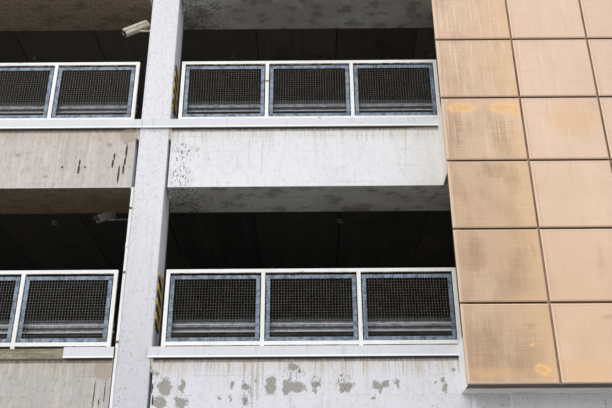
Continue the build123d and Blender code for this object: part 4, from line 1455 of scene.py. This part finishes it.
@dataclass
class MortarFills:
    """Mortar pressed into the joints beside the columns, broken away at its lower end."""

    divisions: int = 7
    lump: float = 0.006
    lump_grain: float = 31.0
    broken: float = 0.055
    broken_grain: float = 60.0
    broken_share: float = 0.4

    def build(self) -> None:
        """Build every fill as a lumpy block that crumbles at its foot."""
        work = Workpiece()
        for low, high in solids_of("joint_mortar"):
            self.add_fill(work, low, high)
        work.deliver("joint_mortar_lumps", JointMortar().material(), "mortar", ["joint_mortar"], 60.0)

    def add_fill(self, work: Workpiece, low: Vector, high: Vector) -> None:
        """Add one fill.

        Args:
            work: the work that takes it.
            low, high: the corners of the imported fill.
        """
        middle = (low + high) / 2
        part = bmesh.new()
        matrix = Matrix.Translation(middle) @ Matrix.Diagonal((*(high - low), 1.0))
        bmesh.ops.create_cube(part, size=1.0, matrix=matrix)
        bmesh.ops.subdivide_edges(part, edges=part.edges, cuts=self.divisions, use_grid_fill=True)
        for vert in part.verts:
            height = (vert.co.z - low.z) / (high.z - low.z)
            shake = noise.noise_vector(vert.co * self.lump_grain) * self.lump
            inward = (middle - vert.co).normalized()
            vert.co += inward * abs(shake.length)
            if height < self.broken_share:
                x, y = vert.co.x * self.broken_grain, vert.co.y * self.broken_grain
                lift = 0.5 + 0.5 * noise.noise(Vector((x, y, low.z * 7.0)))
                vert.co.z += self.broken * lift * (1 - height / self.broken_share)
        work.add(part, Matrix())


@dataclass
class Copings:
    """Folded metal copings on the kerbs."""

    edge: float = 0.0012

    def build(self) -> None:
        """Dress the copings of all sides."""
        paint = CopingPaint().material()
        for side in ("front", "rear", "end"):
            CarriedNode(f"{side}_copings", "coping_metal", self.edge, 1).build(paint)


@dataclass
class Railings:
    """White railing frames with foot plates, and the mesh panels hung inside them."""

    gap: float = 0.013
    bar: float = 0.046
    sheet: float = 0.004
    lip: float = 0.016
    strap: float = 0.040
    strap_thickness: float = 0.006
    wire_pitch: float = 0.033
    wire_radius: float = 0.0016
    wire_grip: float = 0.006
    upright_depth: float = 0.0065
    level_depth: float = 0.0098
    bolt_radius: float = 0.0075
    bolt_height: float = 0.005
    bolt_seat: float = 0.001
    steel_edge: float = 0.004
    frame_edge: float = 0.0008

    def build(self, white: bpy.types.Material) -> None:
        """Build the railings and the panels of all four sides.

        Args:
            white: finish of the railings.
        """
        zinc = Galvanised().material()
        wire = MeshWire().material()
        for side in Side:
            name = side.name.lower()
            CarriedNode(f"{name}_railings", "white_steel", self.steel_edge).build(white)
            frames, wires = Workpiece(), Workpiece()
            templates: Dict[Tuple[float, float], Tuple[bpy.types.Mesh, bpy.types.Mesh]] = {}
            for low, high in solids_of(f"{name}_mesh_panels"):
                self.place_panel(side, low, high, frames, wires, templates)
            frames.deliver(f"{name}_panel_frames", zinc, "galvanised_mesh", [f"{name}_mesh_panels"])
            wires.deliver(f"{name}_panel_wires", wire, "galvanised_mesh", [f"{name}_mesh_panels"])

    def place_panel(
        self,
        side: Side,
        low: Vector,
        high: Vector,
        frames: Workpiece,
        wires: Workpiece,
        templates: Dict[Tuple[float, float], Tuple[bpy.types.Mesh, bpy.types.Mesh]],
    ) -> None:
        """Place one panel.

        Args:
            side: the side of the building.
            low, high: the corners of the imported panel.
            frames, wires: the works that take the panel's frame and wires.
            templates: the panels already drawn, by their rounded size.
        """
        along = 0 if side in (Side.FRONT, Side.REAR) else 1
        width = high[along] - low[along]
        height = high.z - low.z
        key = (round(width, 3), round(height, 3))
        if key not in templates:
            templates[key] = (self.frame_template(*key), self.wire_template(*key))
        outer = {
            Side.FRONT: Vector((low.x, low.y, low.z)),
            Side.REAR: Vector((high.x, high.y, low.z)),
            Side.LEFT: Vector((low.x, high.y, low.z)),
            Side.RIGHT: Vector((high.x, low.y, low.z)),
        }[side]
        place = Matrix.Translation(outer) @ side.turn()
        frames.add_mesh(templates[key][0], place)
        wires.add_mesh(templates[key][1], place)

    def frame_template(self, width: float, height: float) -> bpy.types.Mesh:
        """Draw the zinc frame of a panel: flat bars with a return, two straps and its bolts.

        Args:
            width, height: the panel's size.

        Returns:
            The frame, with its lower left corner at the origin.
        """
        work = Workpiece()
        left, right = self.gap, width - self.gap
        for low, high in (
            ((left, 0), (left + self.bar, height)),
            ((right - self.bar, 0), (right, height)),
            ((left + self.bar, 0), (right - self.bar, self.bar)),
            ((left + self.bar, height - self.bar), (right - self.bar, height)),
        ):
            work.block((low[0], 0, low[1]), (high[0], self.sheet, high[1]))
        for low, high in (
            ((left, 0), (left + self.sheet, height)),
            ((right - self.sheet, 0), (right, height)),
            ((left, 0), (right, self.sheet)),
            ((left, height - self.sheet), (right, height)),
        ):
            work.block((low[0], self.sheet, low[1]), (high[0], self.lip, high[1]))
        for foot in (0.0, height - self.strap):
            work.block((0, self.lip - self.strap_thickness, foot), (width, self.lip, foot + self.strap))
        work.soften(self.frame_edge, 1)
        inset = self.bar / 2
        rows = (inset, height / 2, height - inset)
        columns = (left + inset, (left + right) / 2, right - inset)
        for x in columns:
            for z in rows:
                if (x, z) != (columns[1], rows[1]):
                    work.rod((x, -self.bolt_height, z), (x, self.bolt_seat, z), self.bolt_radius, 6, True)
        return work.template("panel_frame")

    def wire_template(self, width: float, height: float) -> bpy.types.Mesh:
        """Draw the wires of a panel, the upright ones in front of the level ones.

        Args:
            width, height: the panel's size.

        Returns:
            The wires, with the panel's lower left corner at the origin.
        """
        work = Workpiece()
        left, right = self.gap + self.bar, width - self.gap - self.bar
        bottom, top = self.bar, height - self.bar
        grip, depth = self.wire_grip, self.upright_depth
        count = round((right - left) / self.wire_pitch)
        for k in range(1, count):
            x = left + (right - left) * k / count
            work.rod((x, depth, bottom - grip), (x, depth, top + grip), self.wire_radius, 4, False)
        depth = self.level_depth
        count = round((top - bottom) / self.wire_pitch)
        for k in range(1, count):
            z = bottom + (top - bottom) * k / count
            work.rod((left - grip, depth, z), (right + grip, depth, z), self.wire_radius, 4, False)
        return work.template("panel_wires")


@dataclass
class CrashBarriers:
    """Folded zinc beams on short posts behind the railings."""

    beam_edge: float = 0.0015
    post_edge: float = 0.003

    def build(self) -> None:
        """Dress the beams and the posts."""
        shades = tone(126, 129, 132), tone(168, 172, 176), tone(82, 84, 86)
        zinc = Galvanised("barrier_zinc", *shades, metallic=0.2, fold_light_and_shade=0.8).material()
        CarriedNode("barrier_beams", "galvanised_steel", self.beam_edge, 1).build(zinc)
        CarriedNode("barrier_posts", "galvanised_steel", self.post_edge, 1).build(zinc)


@dataclass
class Guards:
    """Striped guards on the sides of the columns."""

    edge: float = 0.003

    def build(self) -> None:
        """Dress the guards."""
        CarriedNode("column_guards", "striped_guard", self.edge).build(StripedGuard().material())


@dataclass
class Cladding:
    """Tan panels on tan uprights and rails, with their brackets and casing."""

    panel_edge: float = 0.002
    steel_edge: float = 0.002
    bottom: float = CLADDING_FOOT
    row: float = PANEL_HEIGHT
    rows: int = 9
    rail: float = 0.070
    rail_depth: float = 0.014
    rail_edge: float = 0.001

    def build(self) -> None:
        """Dress the cladding and what carries it."""
        CarriedNode("cladding_panels", "tan_cladding", self.panel_edge, 1).build(TanCladding().material())
        steel = TanSteel().material()
        for node in ("cladding_mullions", "cladding_brackets"):
            CarriedNode(node, "tan_cladding", self.steel_edge, 1).build(steel)
        CarriedNode("cladding_casing", "white_steel", self.steel_edge, 1).build(CasingSheet().material())
        # The rails take a darker copy of the tan paint, as painted shade behind the level joints.
        self.add_rails(TanSteel("rail_steel", tone(128, 98, 74), tone(84, 60, 42)).material())

    def add_rails(self, steel: bpy.types.Material) -> None:
        """Build the flat rails between the uprights, behind the level joints of the panels.

        Args:
            steel: their finish.
        """
        uprights = sorted((low.x, high.x, low.y) for low, high in solids_of("cladding_mullions"))
        work = Workpiece()
        for (_, left, front), (right, _, _) in zip(uprights, uprights[1:]):
            for number in range(1, self.rows):
                z = self.bottom + self.row * number
                low = (left, front, z - self.rail / 2)
                work.block(low, (right, front + self.rail_depth, z + self.rail / 2))
        work.soften(self.rail_edge, 1)
        work.deliver("cladding_rails", steel, "tan_cladding", ["cladding_mullions"])


@dataclass
class DownPipe:
    """White pipe beside the middle column, with sockets and rusty clips."""

    radius: float = 0.019
    socket: float = 0.0225
    socket_length: float = 0.07
    socket_slope: float = 0.004
    mouth: float = 0.010
    sockets: Tuple[float, ...] = (0.95, 2.75, 5.45)
    clip_edge: float = 0.001

    def build(self, white: bpy.types.Material) -> None:
        """Build the pipe and dress its clips.

        Args:
            white: finish of the pipe.
        """
        work = Workpiece.copy_of("down_pipe")
        low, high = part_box("down_pipe")
        x, y = (low.x + high.x) / 2, (low.y + high.y) / 2
        half = self.socket_length / 2
        for height in self.sockets:
            profile = (
                (self.radius, -half), (self.socket, -half + self.socket_slope), (self.socket, half - self.mouth),
                (self.radius + 0.001, half - 0.002), (self.radius - 0.002, half),
            )
            work.turned(profile, Matrix.Translation((x, y, height)), 24)
        work.deliver("down_pipe_smooth", white, "white_steel", ["down_pipe"], 40.0)
        shades = tone(132, 88, 60), tone(160, 112, 76), tone(88, 60, 44)
        rust = Galvanised("rusty_clip", *shades, metallic=0.1).material()
        CarriedNode("pipe_clips", "galvanised_steel", self.clip_edge, 1, 40.0).build(rust)


@dataclass
class WatchCamera:
    """Camera in a case with a sun hood, on an arm and a plate on the column."""

    node: str
    middle: Tuple[float, float, float]
    length: float
    pan: float
    tilt: float
    width: float = 0.09
    corner: float = 0.020
    front_inset: float = 0.006
    rear_inset: float = 0.012
    cap: float = 0.014
    cap_edge: float = 0.005
    front_cap: float = 0.96
    rear_cap: float = 0.94
    hood: float = 0.016
    hood_top: float = 0.004
    hood_sheet: float = 0.003
    hood_sides: float = 0.030
    hood_edge: float = 0.001
    lens: float = 0.034
    window_stand: float = 0.002
    face: float = MIDDLE_FACE
    plate: float = 0.09
    plate_sheet: float = 0.008
    plate_edge: float = 0.002
    arm_drop: float = 0.038
    arm_radius: float = 0.013
    arm_start: float = 0.02
    arm_end: float = 0.006
    knuckle_radius: float = 0.024
    knuckle_reach: float = 0.030
    bolt_radius: float = 0.007
    bolt_height: float = 0.005
    bolt_share: float = 0.72

    def build(self, case: bpy.types.Material, glass: bpy.types.Material) -> None:
        """Build the case with its hood, arm and plate, and the window in front.

        Args:
            case: finish of the case, arm and plate.
            glass: finish of the window.
        """
        aim = Matrix.Translation(self.middle)
        aim = aim @ Matrix.Rotation(math.radians(self.pan), 4, "Z")
        aim = aim @ Matrix.Rotation(math.radians(-self.tilt), 4, "Y")
        whole = Workpiece()
        for part in (self.body(), self.caps(), self.sun_hood()):
            whole.add(part.mesh, aim)
        self.add_mount(whole)
        whole.deliver(f"{self.node}_case", case, "camera_housing", [self.node], 40.0)
        window = Workpiece()
        rim = self.lens
        ring = ((0.0, 0.0), (rim - 0.008, 0.0005), (rim - 0.004, 0.004), (rim - 0.0005, 0.004), (rim, -0.006))
        place = aim @ Matrix.Translation((-self.length / 2 - self.window_stand, 0, 0))
        window.turned(ring, place @ Matrix.Rotation(math.radians(-90), 4, "Y"), 28)
        window.deliver(f"{self.node}_window", glass, "camera_housing", [self.node], 35.0)

    def body(self) -> Workpiece:
        """Draw the rounded case, which looks along its negative X.

        Returns:
            The case.
        """
        end, half = self.length / 2, self.width / 2
        work = Workpiece()
        work.block((-end + self.front_inset, -half, -half), (end - self.rear_inset, half, half))
        work.soften(self.corner, 4)
        return work

    def caps(self) -> Workpiece:
        """Draw the caps that close the case at both ends.

        Returns:
            The caps.
        """
        end, half = self.length / 2, self.width / 2
        work = Workpiece()
        side = half * self.rear_cap
        work.block((end - self.cap, -side, -side), (end, side, side))
        side = half * self.front_cap
        work.block((-end, -side, -side), (-end + self.cap, side, side))
        work.soften(self.cap_edge, 2)
        return work

    def sun_hood(self) -> Workpiece:
        """Draw the folded sheet over the case, pushed forward past its front.

        Returns:
            The hood.
        """
        end, half = self.length / 2, self.width / 2
        top = half + self.hood / 2
        front, back = -end - self.hood, end - self.hood
        work = Workpiece()
        work.block((front, -top, top - self.hood_top), (back, top, top))
        for side in (-1, 1):
            inner, outer = sorted((side * (top - self.hood_sheet), side * top))
            work.block((front, inner, half - self.hood_sides), (back, outer, top - self.hood_top / 2))
        work.soften(self.hood_edge, 1)
        return work

    def add_mount(self, whole: Workpiece) -> None:
        """Add the arm, its knuckle and the plate with four bolts.

        Args:
            whole: the work that takes them.
        """
        x, y, z = self.middle
        z -= self.arm_drop
        plate_face = self.face - self.plate_sheet
        whole.rod((x + self.arm_start, y, z), (self.face - self.arm_end, y, z), self.arm_radius, 16, True)
        whole.rod((self.face - self.knuckle_reach, y, z), (plate_face, y, z), self.knuckle_radius, 20, True)
        half = self.plate / 2
        inset = half * self.bolt_share
        base = Workpiece()
        base.block((plate_face, y - half, z - half), (self.face, y + half, z + half))
        base.soften(self.plate_edge, 2)
        whole.add(base.mesh, Matrix())
        for dy in (-1, 1):
            for dz in (-1, 1):
                spot = Vector((plate_face, y + dy * inset, z + dz * inset))
                whole.rod(spot - Vector((self.bolt_height, 0, 0)), spot, self.bolt_radius, 6, True)


@dataclass
class CeilingLights:
    """Round lights under the planks: a flat base ring and a domed cover."""

    radius: float = 0.060
    height: float = 0.050

    def build(self) -> None:
        """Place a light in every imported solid."""
        profile = (
            (0.0, -self.height), (0.020, -self.height + 0.001), (0.036, -self.height + 0.006),
            (0.046, -self.height + 0.014), (0.050, -0.020), (0.051, -0.014), (self.radius, -0.013),
            (self.radius, -0.002), (self.radius - 0.002, 0.0), (0.0, 0.0),
        )
        single = Workpiece()
        single.turned(profile, Matrix(), 20)
        template = single.template("ceiling_light")
        work = Workpiece()
        for low, high in solids_of("ceiling_lights"):
            middle = (low + high) / 2
            work.add_mesh(template, Matrix.Translation((middle.x, middle.y, high.z)))
        work.deliver("ceiling_lights_domed", LampCover().material(), "light_cover", ["ceiling_lights"], 35.0)


@dataclass(frozen=True)
class Sun:
    """A soft sun: the direction to it, its strength, its apparent size in degrees and its colour."""

    name: str
    towards: Colour
    strength: float
    spread: float
    colour: Colour = (1.0, 1.0, 1.0)

    def build(self) -> None:
        """Hang the lamp."""
        data = bpy.data.lights.new(self.name, "SUN")
        data.energy = self.strength
        data.color = self.colour
        data.angle = math.radians(self.spread)
        lamp = bpy.data.objects.new(self.name, data)
        lamp.matrix_world = Vector(self.towards).to_track_quat("Z", "Y").to_matrix().to_4x4()
        bpy.context.scene.collection.objects.link(lamp)


@dataclass
class Studio:
    """Camera at the photograph's place, soft light and a plain pale floor."""

    place: Tuple[float, float, float] = (1.965, -16.672, 1.600)
    lens: float = 47.795
    pitch: float = 26.220
    yaw: float = 0.210
    roll: float = -0.320
    sky: float = 0.72
    suns: Tuple[Sun, ...] = (
        Sun("key", (-0.42, -0.68, 0.60), 1.95, 60.0),
        Sun("fill", (0.86, -0.28, 0.42), 1.1, 70.0, (0.80, 0.85, 1.0)),
    )
    floor_shade: Colour = tone(222, 222, 220)
    floor_size: float = 160.0

    def build(self) -> None:
        """Set up the whole studio."""
        self.add_camera()
        self.add_world()
        for sun in self.suns:
            sun.build()
        self.add_floor()
        bpy.context.scene.view_settings.view_transform = "Standard"

    def add_camera(self) -> None:
        """Place the camera and make it the scene's own."""
        pitch, yaw, roll = (math.radians(angle) for angle in (self.pitch, self.yaw, self.roll))
        turn = Matrix.Rotation(yaw, 3, "Z")
        forward = turn @ Vector((0, math.cos(pitch), math.sin(pitch)))
        up = turn @ Vector((0, -math.sin(pitch), math.cos(pitch)))
        right = turn @ Vector((1, 0, 0))
        level_right = math.cos(roll) * right + math.sin(roll) * up
        level_up = -math.sin(roll) * right + math.cos(roll) * up
        data = bpy.data.cameras.new("view")
        data.sensor_fit = "HORIZONTAL"
        data.sensor_width = 36.0
        data.lens = self.lens
        data.clip_end = 500.0
        camera = bpy.data.objects.new("view", data)
        facing = Matrix((level_right, level_up, -forward)).transposed().to_4x4()
        camera.matrix_world = Matrix.Translation(self.place) @ facing
        bpy.context.scene.collection.objects.link(camera)
        bpy.context.scene.camera = camera

    def add_world(self) -> None:
        """Light the scene from an even sky that looks white behind the building."""
        world = bpy.data.worlds.new("sky")
        world.use_nodes = True
        tree = world.node_tree
        tree.nodes.clear()
        output = tree.nodes.new("ShaderNodeOutputWorld")
        seen = tree.nodes.new("ShaderNodeBackground")
        lighting = tree.nodes.new("ShaderNodeBackground")
        seen.inputs["Color"].default_value = (1, 1, 1, 1)
        seen.inputs["Strength"].default_value = 1.0
        lighting.inputs["Color"].default_value = (0.97, 0.98, 1.0, 1)
        lighting.inputs["Strength"].default_value = self.sky
        path = tree.nodes.new("ShaderNodeLightPath")
        share = path.outputs["Is Camera Ray"]
        for name in ("Is Glossy Ray", "Is Transmission Ray"):
            either = tree.nodes.new("ShaderNodeMath")
            either.operation = "MAXIMUM"
            tree.links.new(share, either.inputs[0])
            tree.links.new(path.outputs[name], either.inputs[1])
            share = either.outputs[0]
        choice = tree.nodes.new("ShaderNodeMixShader")
        tree.links.new(share, choice.inputs[0])
        tree.links.new(lighting.outputs[0], choice.inputs[1])
        tree.links.new(seen.outputs[0], choice.inputs[2])
        tree.links.new(choice.outputs[0], output.inputs["Surface"])
        bpy.context.scene.world = world

    def add_floor(self) -> None:
        """Lay the floor, pale to the eye."""
        work = bmesh.new()
        bmesh.ops.create_grid(work, x_segments=1, y_segments=1, size=self.floor_size)
        shape = bpy.data.meshes.new("floor")
        work.to_mesh(shape)
        work.free()
        r = Recipe("studio_floor")
        cloud = r.clouds((0.05, 0.05, 1.0), 2)
        path = r.tree.nodes.new("ShaderNodeLightPath")
        pale = r.mix(r.times(cloud, 0.2), self.floor_shade, tone(214, 214, 212))
        seen = r.mix(path.outputs["Is Camera Ray"], tone(150, 150, 148), pale)
        shape.materials.append(r.done(seen, 0.9))
        floor = bpy.data.objects.new("floor", shape)
        bpy.context.scene.collection.objects.link(floor)


def main() -> None:
    """Build and dress every piece of the car park, then set up the studio."""
    logging.basicConfig(level=logging.INFO, format="%(name)s %(message)s")
    Studio().build()
    Structure().build()
    MortarFills().build()
    Copings().build()
    white = WhiteSteel().material()
    Railings().build(white)
    CrashBarriers().build()
    Guards().build()
    Cladding().build()
    DownPipe().build(white)
    case, glass = CameraCase().material(), DarkGlass().material()
    # The lower camera's case is a darker copy as painted shade, and near black as painted shadow for x above -0.47.
    shaded_case_finish = CameraCase("shaded_camera_case", tone(94, 88, 78), tone(62, 57, 49), painted_shadow_from=-0.47).material()
    upper = (MIDDLE_FACE - 0.226, FRONT_FACE + 0.172, 8.807)
    WatchCamera("upper_camera", upper, length=0.37, pan=14.0, tilt=35.0).build(case, glass)
    lower = (MIDDLE_FACE - 0.400, FRONT_FACE + 0.322, 5.976)
    WatchCamera("lower_camera", lower, length=0.27, pan=50.0, tilt=32.0).build(shaded_case_finish, glass)
    CeilingLights().build()


if __name__ == "__main__":
    main()
